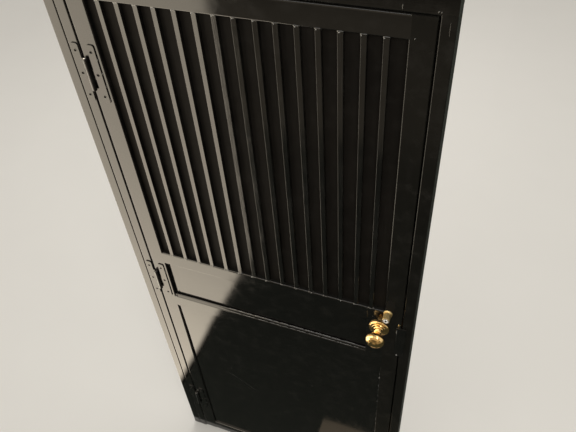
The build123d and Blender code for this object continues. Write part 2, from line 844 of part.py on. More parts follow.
def make_leaf_screws():
    """Countersunk screws of the leaf's hinge plates, faceplate and night latch."""
    x = hinge_x + screw_offset
    screws = [screw_along_y(x, z, -hinge_thick, 1) for z in hinge_screw_heights()]
    for step in (-1, 1):
        screws.append(edge_screw(knob_height + step * faceplate_screws))
    for z in (night_bottom - ear_tall / 2, night_top + ear_tall / 2):
        screws.append(screw_along_y(cylinder_x + ear_offset, z, tube_depth + hinge_thick, -1))
    return screws


# Writing the parts
def save(name, shape):
    """Write one node, moved back so that the origin is in the middle of the leaf's depth."""
    back = Pos(0, -tube_depth / 2, 0)
    if isinstance(shape, list):
        placed = Compound(children=[back * solid for solid in shape])
    else:
        placed = back * shape
    export_step(placed, "parts/" + name + ".step")


def write_frame():
    """Write the pieces that stay still."""
    save("packing_tube", make_packing_tube())
    save("jamb_left", make_jamb_left())
    save("jamb_right", make_jamb_right())
    save("head", make_head())
    left = jamb_right_edge + stop_width
    right = lock_jamb_left - stop_width
    save("stop_left", make_stop(jamb_right_edge, left, 0, head_bottom))
    save("stop_head", make_stop(left, right, head_bottom - stop_width, head_bottom))
    cut_low = night_bottom - ear_tall - stop_cut
    cut_high = night_top + ear_tall + stop_cut
    save("stop_right_lower", make_stop(right, lock_jamb_left, 0, cut_low))
    save("stop_right_upper", make_stop(right, lock_jamb_left, cut_high, head_bottom))
    for number, middle in enumerate(hinge_heights):
        save("hinge_plate_frame_" + str(number + 1), make_hinge_plate(-1, middle))
    save("hinge_pins", [make_pin(middle) for middle in hinge_heights])
    save("frame_screws", make_frame_screws())


def write_leaf():
    """Write the tubes, bars and sheets of the leaf."""
    save("stile_hinge", make_stile_hinge())
    save("stile_lock", make_stile_lock())
    save("rail_top", make_rail(bay_right, top_rail_bottom, leaf_top))
    save("rail_lock", make_rail(lock_box_left, lock_rail_bottom, lock_rail_top))
    save("rail_mid", make_rail(bay_right, mid_rail_bottom, mid_rail_top))
    save("rail_bottom", make_rail(bay_right, leaf_bottom, bottom_rail_top))
    save("lock_box_tube", make_lock_box())
    for number in range(bar_count):
        save("bar_" + str(number + 1).zfill(2), make_bar(number))
    save("bay_sheet", make_sheet(bay_left, bay_right, lock_rail_top, top_rail_bottom,
                                 sheet_recess, sheet_thick))
    save("middle_panel", make_sheet(bay_left, lock_box_left, mid_rail_top,
                                    lock_rail_bottom, middle_recess, middle_thick))
    save("lower_panel", make_sheet(bay_left, bay_right, bottom_rail_top, mid_rail_bottom,
                                   lower_recess, sheet_thick))
    save("guard_plate", make_guard_plate())
    for number, middle in enumerate(hinge_heights):
        save("hinge_plate_leaf_" + str(number + 1), make_hinge_plate(1, middle))
    save("leaf_screws", make_leaf_screws())


def write_locks():
    """Write the latch, the knobs, the cylinder and the night latch."""
    save("latch_case", make_latch_case())
    save("latch_faceplate", make_faceplate())
    save("latch_follower", make_follower())
    save("latch_bolt", make_latch_bolt())
    save("rose_outer", make_rose(False))
    save("rose_inner", make_rose(True))
    save("knob_outer", make_knob(False))
    save("knob_inner", make_knob(True))
    save("knob_spindle", make_spindle())
    save("cylinder_body", make_cylinder_body())
    save("cylinder_ring", make_cylinder_ring())
    save("cylinder_plug", make_cylinder_plug())
    save("connecting_bar", make_connecting_bar())
    save("night_latch_case", make_night_case())
    save("night_latch_bolt", make_night_bolt())
    save("night_latch_turn", make_night_turn())


os.makedirs("parts", exist_ok=True)
write_frame()
write_leaf()
write_locks()
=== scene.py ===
"""Looks of a barred steel entrance door in its frame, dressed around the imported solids."""

import logging
import math
import random
from dataclasses import dataclass, replace
from enum import Enum
from functools import cached_property, reduce
from typing import Iterable, Sequence

import bpy
from mathutils import Matrix, Vector


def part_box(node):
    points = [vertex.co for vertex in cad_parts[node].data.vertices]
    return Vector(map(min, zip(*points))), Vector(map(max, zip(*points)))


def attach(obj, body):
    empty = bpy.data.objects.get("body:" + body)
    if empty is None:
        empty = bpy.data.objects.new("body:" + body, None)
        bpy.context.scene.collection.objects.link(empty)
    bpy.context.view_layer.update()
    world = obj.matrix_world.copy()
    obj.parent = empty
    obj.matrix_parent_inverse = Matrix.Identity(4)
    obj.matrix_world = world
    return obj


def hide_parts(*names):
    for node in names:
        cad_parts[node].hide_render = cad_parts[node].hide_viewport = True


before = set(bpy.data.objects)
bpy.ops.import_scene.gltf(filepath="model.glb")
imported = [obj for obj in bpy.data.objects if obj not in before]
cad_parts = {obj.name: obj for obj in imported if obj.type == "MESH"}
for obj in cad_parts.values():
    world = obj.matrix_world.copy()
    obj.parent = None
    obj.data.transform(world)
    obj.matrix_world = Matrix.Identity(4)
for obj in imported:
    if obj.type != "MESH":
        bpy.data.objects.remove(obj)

log = logging.getLogger("door")

Colour = tuple[float, float, float]
Span = tuple[float, float]
Point = tuple[float, float, float]
Socket = bpy.types.NodeSocket

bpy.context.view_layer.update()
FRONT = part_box("stile_hinge")[0].y  # The plane of the leaf's and the frame's front.
TUBE_ROUND = 0.0035  # Radius of the tubes' long edges.
FOOT_DEPTH = 0.0006  # How far a raised form is sunk into what carries it.
SHARP_ANGLE = math.radians(70)
DOME_LEVELS = 4
SPARE_KNOTS = 3  # Drawn beyond the last full stride.
MIX_INPUTS = (0, 6, 7)  # Share, first and second colour of the Mix node.
MIX_RESULT = 2


def angles(sides: int = 16) -> list[float]:
    """Return evenly spaced angles round a full turn."""
    return [math.tau * n / sides for n in range(sides)]


def drift(dice: random.Random, reach: float, count: int, stride: int) -> list[float]:
    """Return values that drift evenly from one random knot to the next.

    Args:
        dice: Source of the knots.
        reach: The furthest that a knot lies from 0.
        count: How many values.
        stride: Steps from knot to knot.

    Returns:
        The values.
    """
    knots = [dice.uniform(-reach, reach) for _ in range(count // stride + SPARE_KNOTS)]
    shares = [step / stride for step in range(stride)]
    return [first * (1 - share) + second * share
            for first, second in zip(knots, knots[1:]) for share in shares][:count]


def face_centre(node: str) -> Vector:
    """Return the middle of a node's front."""
    low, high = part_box(node)
    return Vector(((low.x + high.x) / 2, low.y, (low.z + high.z) / 2))


def add_object(name: str, data: bpy.types.ID) -> bpy.types.Object:
    """Put a new object in the scene.

    Args:
        name: Its name.
        data: Its mesh, lamp or camera.

    Returns:
        The object.
    """
    made = bpy.data.objects.new(name, data)
    bpy.context.scene.collection.objects.link(made)
    return made


class Run(Enum):
    """The way that brush strokes run in an enamel."""

    UPRIGHT = (1.0, 1.0, 0.05)
    LEVEL = (0.05, 1.0, 1.0)
    EVERY_WAY = (1.0, 1.0, 1.0)


@dataclass(frozen=True)
class Grain:
    """A noise: waves per metre, octaves, share of the finer ones, stretch and cut."""

    scale: float
    detail: float = 3.0
    rough: float = 0.55
    stretch: Point | None = None
    cut: Span | None = None


class NodeBoard:
    """A node tree with short calls for what the finishes need."""

    speck_core: float = 0.6
    ledge_cut: Span = (0.25, 0.9)

    def __init__(self, holder: bpy.types.Material | bpy.types.World) -> None:
        """Clear a material's or world's tree.

        Args:
            holder: The material or world.
        """
        self.holder = holder
        holder.use_nodes = True
        self.tree = holder.node_tree
        self.tree.nodes.clear()

    @cached_property
    def place(self) -> Socket:
        """The object's own coordinates, in metres."""
        return self.add("ShaderNodeTexCoord").outputs["Object"]

    def add(self, kind: str, **inputs: object) -> bpy.types.Node:
        """Add one node and fill its inputs.

        Args:
            kind: Blender's name of the node.
            **inputs: Values or sockets by the input's name, with _ for a space.

        Returns:
            The node.
        """
        node = self.tree.nodes.new(kind)
        for name, value in inputs.items():
            self.feed(node.inputs[name.replace("_", " ")], value)
        return node

    def feed(self, socket: Socket, value: object) -> None:
        """Give a socket a number, a colour or another socket.

        Args:
            socket: The input that is filled.
            value: A socket to link, or a plain value.
        """
        if isinstance(value, Socket):
            self.tree.links.new(value, socket)
        elif socket.type == "RGBA":
            socket.default_value = (*value, 1.0)
        else:
            socket.default_value = value

    def surface(self, kind: str = "ShaderNodeBsdfPrincipled",
                **inputs: object) -> bpy.types.Material:
        """Close the tree with one shader.

        Args:
            kind: Blender's name of the shader.
            **inputs: What its inputs get, as for add.

        Returns:
            The finished material.
        """
        shader = self.add(kind, **inputs)
        self.add("ShaderNodeOutputMaterial", Surface=shader.outputs[0])
        return self.holder

    def noise(self, grain: Grain) -> Socket:
        """Return a noise value from 0 to 1.

        Args:
            grain: The noise, with its cut if it has one.

        Returns:
            The value socket.
        """
        place = self.place
        if grain.stretch:
            place = self.add("ShaderNodeMapping", Vector=place,
                             Scale=grain.stretch).outputs["Vector"]
        value = self.add("ShaderNodeTexNoise", Vector=place, Scale=grain.scale,
                         Detail=grain.detail, Roughness=grain.rough).outputs["Fac"]
        return self.band(value, *grain.cut) if grain.cut else value

    def specks(self, scale: float, size: float) -> Socket:
        """Return round specks, 1 inside each and 0 outside.

        Args:
            scale: Cells per metre.
            size: Speck radius as a share of a cell.

        Returns:
            The value socket.
        """
        cells = self.add("ShaderNodeTexVoronoi", Vector=self.place, Scale=scale)
        return self.band(cells.outputs["Distance"], size, size * self.speck_core)

    def band(self, value: Socket, low: float, high: float) -> Socket:
        """Return 0 at low and 1 at high, clamped and smooth.

        Args:
            value: The value that is spread.
            low: Where the result is 0.
            high: Where the result is 1.

        Returns:
            The value socket.
        """
        node = self.add("ShaderNodeMapRange", Value=value, From_Min=low, From_Max=high)
        node.interpolation_type = "SMOOTHSTEP"
        return node.outputs["Result"]

    def spread(self, value: Socket, low: float, high: float) -> Socket:
        """Return a 0 to 1 value spread from low to high."""
        return self.add("ShaderNodeMapRange", Value=value, To_Min=low,
                        To_Max=high).outputs["Result"]

    def calc(self, kind: str, first: object, second: object) -> Socket:
        """Return what a Math node makes of two values.

        Args:
            kind: Blender's name of the operation.
            first: A socket or a number.
            second: A socket or a number.

        Returns:
            The value socket.
        """
        node = self.add("ShaderNodeMath")
        node.operation = kind
        self.feed(node.inputs[0], first)
        self.feed(node.inputs[1], second)
        return node.outputs["Value"]

    def times(self, first: object, second: object) -> Socket:
        """Return the product of two values."""
        return self.calc("MULTIPLY", first, second)

    def plus(self, first: object, second: object) -> Socket:
        """Return the sum of two values."""
        return self.calc("ADD", first, second)

    def most(self, *values: object) -> Socket:
        """Return the largest of some values."""
        return reduce(lambda one, other: self.calc("MAXIMUM", one, other), values)

    def mix(self, share: object, first: object, second: object) -> Socket:
        """Return a colour between two colours.

        Args:
            share: Share of the second colour.
            first: A colour or a socket.
            second: A colour or a socket.

        Returns:
            The colour socket.
        """
        node = self.add("ShaderNodeMix")
        node.data_type = "RGBA"
        for number, value in zip(MIX_INPUTS, (share, first, second)):
            self.feed(node.inputs[number], value)
        return node.outputs[MIX_RESULT]

    def bump(self, height: Socket, depth: float, strength: float = 1.0,
             under: Socket | None = None) -> Socket:
        """Return a normal bent by a height.

        Args:
            height: The height, 0 to 1.
            depth: Metres between 0 and 1.
            strength: How much of it counts.
            under: The normal that it is laid on.

        Returns:
            The normal socket.
        """
        node = self.add("ShaderNodeBump", Distance=depth, Strength=strength, Height=height)
        if under is not None:
            self.feed(node.inputs["Normal"], under)
        return node.outputs["Normal"]

    def along(self, vector: Socket, axis: str) -> Socket:
        """Return one part of a vector, X, Y or Z."""
        return self.add("ShaderNodeSeparateXYZ", Vector=vector).outputs[axis]

    def facing_up(self) -> Socket:
        """Return 1 on faces that look up and 0 on the others."""
        normal = self.add("ShaderNodeNewGeometry").outputs["Normal"]
        return self.band(self.along(normal, "Z"), *self.ledge_cut)


@dataclass(frozen=True)
class Enamel:
    """Black enamel over steel: brushed, slightly wavy, dusty on its ledges."""

    name: str
    tone: Colour = (0.0026, 0.0025, 0.0021)
    light_tone: Colour = (0.0052, 0.0048, 0.0040)
    dust_tone: Colour = (0.155, 0.140, 0.118)
    run: Run = Run.EVERY_WAY
    gloss: float = 0.10
    dull: float = 0.24
    specular: float = 0.5
    wave_depth: float = 0.00045
    stroke_depth: float = 0.00006
    dust: float = 0.10
    film: float = 0.035
    speck_share: float = 0.05
    streaks: float = 0.0

    patches: Grain = Grain(7.0, 4.0)
    film_grain: Grain = Grain(23.0, 5.0, 0.65, cut=(0.44, 0.78))
    strokes: Grain = Grain(420.0, 2.0, 0.5)
    peel: Grain = Grain(260.0, 1.0, 0.4)
    waves: Grain = Grain(5.5, 1.0, 0.4)
    ledge_grain: Grain = Grain(60.0, 4.0)
    speck_areas: Grain = Grain(9.0, 2.0, cut=(0.50, 0.62))
    streak_lines: Grain = Grain(900.0, 2.0, 0.6, (1.0, 1.0, 0.018), (0.46, 0.66))
    streak_areas: Grain = Grain(16.0, 3.0, 0.6, (1.0, 1.0, 0.35), (0.40, 0.66))
    speck_scale: float = 150.0
    speck_cover: float = 0.4
    ledge_least: float = 0.45
    dust_dulling: float = 0.5
    peel_depth: float = 0.00003
    softness: float = 0.5

    def make(self) -> bpy.types.Material:
        """Make the material.

        Returns:
            The material.
        """
        board = NodeBoard(bpy.data.materials.new(self.name))
        patches, film = board.noise(self.patches), board.noise(self.film_grain)
        specks = board.times(board.specks(self.speck_scale, self.speck_share),
                             board.noise(self.speck_areas))
        ledges = board.times(board.facing_up(), board.spread(board.noise(self.ledge_grain),
                                                             self.ledge_least, 1.0))
        layers = [board.times(ledges, self.dust), board.times(film, self.film),
                  board.times(specks, self.speck_cover)]
        if self.streaks > 0:
            lines = board.times(board.noise(self.streak_lines), board.noise(self.streak_areas))
            layers.append(board.times(lines, self.streaks))
        dust = board.most(*layers)
        tone = board.mix(patches, self.tone, self.light_tone)
        rough = board.spread(board.times(patches, film), self.gloss, self.dull)
        normal = board.bump(board.noise(self.waves), self.wave_depth)
        strokes = board.noise(replace(self.strokes, stretch=self.run.value))
        normal = board.bump(strokes, self.stroke_depth, self.softness, normal)
        normal = board.bump(board.noise(self.peel), self.peel_depth, self.softness, normal)
        return board.surface(Base_Color=board.mix(dust, tone, self.dust_tone),
                             Roughness=board.plus(rough, board.times(dust, self.dust_dulling)),
                             Specular_IOR_Level=self.specular, Normal=normal)


@dataclass(frozen=True)
class Brass:
    """Brass, polished on its crowns and tarnished in its grooves."""

    name: str
    bright: Colour = (0.90, 0.61, 0.26)
    tarnish: Colour = (0.42, 0.25, 0.09)
    gloss: float = 0.10
    dull: float = 0.30
    age: float = 0.35

    cloud: Grain = Grain(70.0, 4.0, 0.6, cut=(0.42, 0.75))
    lines: Grain = Grain(2600.0, 1.0, 0.3, (0.15, 1.0, 0.15))
    waves: Grain = Grain(90.0, 2.0)
    spot_scale: float = 700.0
    spot_share: float = 0.12
    groove_reach: float = 0.006
    groove_samples: int = 8
    groove_cut: Span = (0.85, 0.35)
    wave_depth: float = 0.00012
    wave_softness: float = 0.5
    line_depth: float = 0.000012
    line_softness: float = 0.6

    def make(self) -> bpy.types.Material:
        """Make the material.

        Returns:
            The material.
        """
        board = NodeBoard(bpy.data.materials.new(self.name))
        groove = board.add("ShaderNodeAmbientOcclusion", Distance=self.groove_reach)
        groove.samples = self.groove_samples
        spots = board.specks(self.spot_scale, self.spot_share)
        aged = board.most(board.band(groove.outputs["AO"], *self.groove_cut),
                          board.times(board.noise(self.cloud), self.age),
                          board.times(spots, self.age))
        waves = board.bump(board.noise(self.waves), self.wave_depth, self.wave_softness)
        return board.surface(Base_Color=board.mix(aged, self.bright, self.tarnish),
                             Roughness=board.spread(aged, self.gloss, self.dull),
                             Metallic=1.0,
                             Normal=board.bump(board.noise(self.lines), self.line_depth,
                                               self.line_softness, waves))


@dataclass(frozen=True)
class Metal:
    """Plain metal with wiped patches and fine marks."""

    name: str
    bright: Colour = (0.50, 0.50, 0.49)
    dark: Colour = (0.20, 0.19, 0.18)
    metallic: float = 1.0
    gloss: float = 0.24
    dull: float = 0.46

    cloud: Grain = Grain(55.0, 5.0, 0.6, cut=(0.38, 0.72))
    marks: Grain = Grain(900.0, 2.0, 0.5, (1.0, 1.0, 0.08))
    cloud_cover: float = 0.6
    mark_depth: float = 0.00002
    softness: float = 0.6

    def make(self) -> bpy.types.Material:
        """Make the material.

        Returns:
            The material.
        """
        board = NodeBoard(bpy.data.materials.new(self.name))
        cloud, marks = board.noise(self.cloud), board.noise(self.marks)
        return board.surface(
            Base_Color=board.mix(board.times(cloud, self.cloud_cover), self.bright, self.dark),
            Roughness=board.spread(board.times(cloud, marks), self.gloss, self.dull),
            Metallic=self.metallic, Normal=board.bump(marks, self.mark_depth, self.softness))


class Finish(Enum):
    """Every finish of the door."""

    UPRIGHT = Enamel("enamel_upright", run=Run.UPRIGHT)
    WORN_UPRIGHT = Enamel("enamel_worn_upright", tone=(0.0046, 0.0042, 0.0033),
                          light_tone=(0.0090, 0.0082, 0.0064), run=Run.UPRIGHT,
                          specular=0.22, gloss=0.18, dull=0.36)
    LEVEL = Enamel("enamel_level", run=Run.LEVEL)
    HARDWARE = Enamel("enamel_hardware", wave_depth=0.0001, dust=0.12, film=0.05, gloss=0.13)
    # Near-black and matte: painted shade, laid as thin domes in the screw sockets and the key
    # slot.
    PAINTED_SHADE = Enamel("socket_painted_shade", tone=(0.0018, 0.0016, 0.0014),
                   light_tone=(0.004, 0.0036, 0.003), gloss=0.7, dull=0.9, specular=0.02,
                   dust=0.0, film=0.0, speck_share=0.0)
    BAR = Enamel("enamel_bar", run=Run.UPRIGHT, wave_depth=0.00010, stroke_depth=0.00012,
                 gloss=0.12, dull=0.26, specular=0.56, film=0.03, speck_share=0.09,
                 streaks=0.08)
    # Lighter and browner than the other enamel: partly its matte paint, partly painted warm bounce
    # light.
    DULL_SHEET = Enamel("enamel_dull_sheet", tone=(0.0052, 0.0046, 0.0039),
                        light_tone=(0.0110, 0.0090, 0.0070), run=Run.UPRIGHT, gloss=0.50,
                        dull=0.70, specular=0.03, dust=0.0, film=0.03, streaks=0.03)
    PANEL = Enamel("enamel_panel", run=Run.UPRIGHT, wave_depth=0.0003, gloss=0.08, dull=0.20,
                   speck_share=0.075)
    WELD = Enamel("enamel_weld", wave_depth=0.00005, gloss=0.08, dull=0.16, film=0.05,
                  dust=0.16, specular=1.0)
    SCUFF = Enamel("enamel_scuff", tone=(0.020, 0.019, 0.016),
                   light_tone=(0.036, 0.033, 0.028), gloss=0.30, dull=0.5, speck_share=0.0)
    DULLED = Enamel("enamel_dulled", tone=(0.0075, 0.0070, 0.0058),
                    light_tone=(0.0110, 0.0100, 0.0084), gloss=0.62, dull=0.8,
                    specular=0.03, dust=0.0, film=0.02)
    # Light grey: painted glints, on the weld spatter dots and the thin seam and edge lines.
    PAINTED_GLINT = Enamel("enamel_painted_glint", tone=(0.16, 0.156, 0.146), light_tone=(0.32, 0.31, 0.288),
                    gloss=0.16, dull=0.36, specular=0.8, film=0.0, speck_share=0.0)
    BRASS = Brass("brass_polished", age=0.5, gloss=0.13)
    LOCK_BRASS = Brass("brass_lock", bright=(0.82, 0.64, 0.31), age=0.5, gloss=0.40, dull=0.58)
    WORN_BRASS = Brass("brass_worn", bright=(0.62, 0.45, 0.20), age=0.8, gloss=0.22, dull=0.42)
    STEEL = Metal("zinc_steel")
    BARE_PIN = Metal("worn_pin_steel", bright=(0.66, 0.65, 0.63), dark=(0.30, 0.28, 0.26),
                     gloss=0.16, dull=0.30)
    LACQUER = Metal("bronze_lacquer", bright=(0.20, 0.13, 0.06), dark=(0.07, 0.045, 0.022),
                    metallic=0.7, gloss=0.28, dull=0.5)
    # Part diffuse and near white, so the cylinder's plug and face rings read as light arcs:
    # nickel's own colour partly, painted highlight partly.
    NICKEL_AND_GLINT = Metal("satin_nickel_and_glint", bright=(0.90, 0.88, 0.82), dark=(0.62, 0.59, 0.53),
                   metallic=0.35, gloss=0.24, dull=0.40)
    CHROME = Metal("satin_chrome", bright=(0.62, 0.62, 0.60), dark=(0.40, 0.40, 0.39),
                   gloss=0.16, dull=0.3)

    @cached_property
    def material(self) -> bpy.types.Material:
        """The finish's material, made when it is first asked for."""
        return self.value.make()


@dataclass(frozen=True)
class Dab:
    """A small raised form on a face that looks forward: place and size in metres."""

    x: float
    z: float
    wide: float
    high: float
    proud: float


class MeshDraft:
    """Vertices and faces of a piece before it becomes an object."""

    def __init__(self) -> None:
        """Start with nothing."""
        self.points: list[Vector] = []
        self.faces: list[tuple[int, ...]] = []

    def ring(self, points: Iterable[Vector]) -> list[int]:
        """Add a ring of points.

        Args:
            points: The points, in their order round the ring.

        Returns:
            Their numbers.
        """
        start = len(self.points)
        self.points.extend(points)
        return list(range(start, len(self.points)))

    def bridge(self, first: list[int], second: list[int]) -> None:
        """Join two rings of the same count with faces."""
        self.faces.extend(zip(first, first[1:] + first[:1], second[1:] + second[:1], second))

    def strip(self, rings: list[list[int]]) -> None:
        """Join each ring to the next."""
        for first, second in zip(rings, rings[1:]):
            self.bridge(first, second)

    def fan(self, ring: list[int], tip: Vector, outward: bool) -> None:
        """Close a ring on one point.

        Args:
            ring: The ring's point numbers.
            tip: The closing point.
            outward: True at the end of a sweep, False at its start.
        """
        top = self.ring([tip])[0]
        for one, other in zip(ring, ring[1:] + ring[:1]):
            self.faces.append((one, other, top) if outward else (other, one, top))

    def caps(self, rings: list[list[int]], back: bool) -> None:
        """Close both ends of a row of rings with one flat face each.

        Args:
            rings: The rings.
            back: True where the first ring's own order faces inward.
        """
        for ring, turned in ((rings[0], back), (rings[-1], not back)):
            self.faces.append(tuple(reversed(ring)) if turned else tuple(ring))

    def dome(self, dab: Dab, start: Vector | None = None, tilt: float = 0.0,
             sides: int = 14) -> None:
        """Add a closed dome that stands out of a face looking forward.

        Args:
            dab: Its place and size.
            start: What its place counts from, or None for the front's own plane.
            tilt: Its turn in the face, in radians.
            sides: Points round it.
        """
        if start is None:
            start = Vector((0, FRONT, 0))
        centre = start + Vector((dab.x, 0, dab.z))
        foot = centre + Vector((0, FOOT_DEPTH, 0))
        turn = Matrix.Rotation(-tilt, 3, "Y")
        rings = []
        for k in range(-1, DOME_LEVELS):
            rise = max(0, k) / DOME_LEVELS * math.pi / 2
            wide, high = dab.wide * math.cos(rise), dab.high * math.cos(rise)
            middle = foot if k < 0 else centre - Vector((0, dab.proud * math.sin(rise), 0))
            rings.append(self.ring(
                middle + turn @ Vector((wide * math.cos(a), 0, high * math.sin(a)))
                for a in angles(sides)))
        self.strip(rings)
        self.fan(rings[-1], centre - Vector((0, dab.proud, 0)), True)
        self.fan(rings[0], foot, False)

    def turned(self, centre: Vector, profile: Sequence[Span], sides: int = 20) -> None:
        """Add a closed ring turned about a line that looks forward.

        Args:
            centre: A point of the line.
            profile: Closed outline as radius and forward reach.
            sides: Points round it.
        """
        rings = [self.ring(centre + Vector((radius * math.cos(a), -reach,
                                            radius * math.sin(a)))
                           for a in angles(sides)) for radius, reach in profile]
        self.strip(rings + rings[:1])

    def piece(self, name: str, slot: str, finish: Finish,
              body: str = "leaf") -> bpy.types.Object:
        """Make the object, dressed and riding on its body.

        Args:
            name: The piece's name.
            slot: Not used.
            finish: Its finish.
            body: The CAD body that it moves with.

        Returns:
            The new object.
        """
        mesh = bpy.data.meshes.new(name)
        mesh.from_pydata([tuple(p) for p in self.points], [], self.faces)
        mesh.validate()
        mesh.polygons.foreach_set("use_smooth", [True] * len(mesh.polygons))
        mesh.set_sharp_from_angle(angle=SHARP_ANGLE)
        mesh.materials.append(finish.material)
        made = add_object(name, mesh)
        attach(made, body)
        log.info("%s: %d faces on %s", name, len(mesh.polygons), body)
        return made


@dataclass(frozen=True)
class WeldBead:
    """A rippled weld bead laid along a path, sizes in metres."""

    radius: float = 0.0020
    ripple: float = 0.12
    pitch: float = 0.0022
    step: float = 0.0008
    sides: int = 10
    press: float = 1.0

    swell: float = 0.16
    swell_steps: int = 5
    least_end: float = 0.05
    end_reach: float = 0.5
    easings: int = 3
    least_pieces: int = 2
    least_side: float = 0.1

    def lay(self, draft: MeshDraft, path: Sequence[Vector], dice: random.Random) -> None:
        """Sweep the bead along a path.

        Args:
            draft: The mesh that receives it.
            path: Corner points of the bead, in metres.
            dice: Source of its unevenness.
        """
        points = self.walk(path)
        last = len(points) - 1
        phase = dice.uniform(0, math.tau)
        swells = drift(dice, self.swell, len(points), self.swell_steps)
        rings: list[list[int]] = []
        for i, centre in enumerate(points):
            along = (points[min(i + 1, last)] - points[max(i - 1, 0)]).normalized()
            side = along.cross(Vector((0, 1, 0)))
            if side.length < self.least_side:
                side = along.cross(Vector((1, 0, 0)))
            side.normalize()
            lift = side.cross(along).normalized() * self.press
            end = min(1.0, (min(i, last - i) + 1.0) * self.step / self.radius)
            wave = self.ripple * math.sin(math.tau * i * self.step / self.pitch + phase)
            size = (self.radius * math.sqrt(max(self.least_end, 1 - (1 - end) ** 2))
                    * (1 + swells[i] + wave))
            rings.append(draft.ring(centre + (side * math.cos(a) + lift * math.sin(a)) * size
                                    for a in angles(self.sides)))
        draft.strip(rings)
        draft.fan(rings[0], points[0] - (points[1] - points[0]) * self.end_reach, False)
        draft.fan(rings[-1], points[-1] + (points[-1] - points[-2]) * self.end_reach, True)

    def walk(self, path: Sequence[Vector]) -> list[Vector]:
        """Space points evenly along a path and ease its corners.

        Args:
            path: Corner points of the bead.

        Returns:
            The points.
        """
        even: list[Vector] = []
        for start, end in zip(path, path[1:]):
            pieces = max(self.least_pieces, round((end - start).length / self.step))
            even.extend(start.lerp(end, n / pieces) for n in range(pieces))
        even.append(path[-1])
        for _ in range(self.easings):
            even = [even[0]] + [(a + b * 2 + c) / 4 for a, b, c in
                                zip(even, even[1:], even[2:])] + [even[-1]]
        return even


class SubAssembly:
    """What every sub-assembly can do."""

    @staticmethod
    def dress(finish: Finish, *names: str) -> None:
        """Give CAD nodes their finish.

        Args:
            finish: The finish.
            *names: The nodes.
        """
        for name in names:
            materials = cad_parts[name].data.materials
            materials.clear()
            materials.append(finish.material)
            log.info("%s: %s", name, finish.value.name)

    @staticmethod
    def dab_all(name: str, dabs: Iterable[Dab], finish: Finish, slot: str = "black_enamel",
                body: str = "leaf", sides: int = 14) -> None:
        """Raise small forms on the front as one piece.

        Args:
            name: The piece's name.
            dabs: The forms.
            finish: Their finish.
            slot: The record's material slot.
            body: The body that carries them.
            sides: Points round each.
        """
        draft = MeshDraft()
        for dab in dabs:
            draft.dome(dab, sides=sides)
        draft.piece(name, slot, finish, body)


@dataclass
class FrameTubes(SubAssembly):
    """The fixed frame: packing tube, jambs, head and stop bars."""

    dabs: tuple[Dab, ...] = (
        Dab(0.4206, 2.0850, 0.0016, 0.0020, 0.0010), Dab(0.4256, 2.0846, 0.0015, 0.0018, 0.0009),
        Dab(0.3568, 2.0877, 0.0011, 0.0050, 0.0008), Dab(0.4431, 2.0545, 0.0006, 0.0140, 0.0004))

    def build(self) -> None:
        """Dress the frame and add the dabs that its welding left."""
        self.dress(Finish.UPRIGHT, "packing_tube", "jamb_left", "stop_left",
                   "stop_right_lower", "stop_right_upper")
        self.dress(Finish.WORN_UPRIGHT, "jamb_right")
        self.dress(Finish.LEVEL, "head", "stop_head")
        self.dab_all("frame_dabs", self.dabs, Finish.WELD, body="frame")


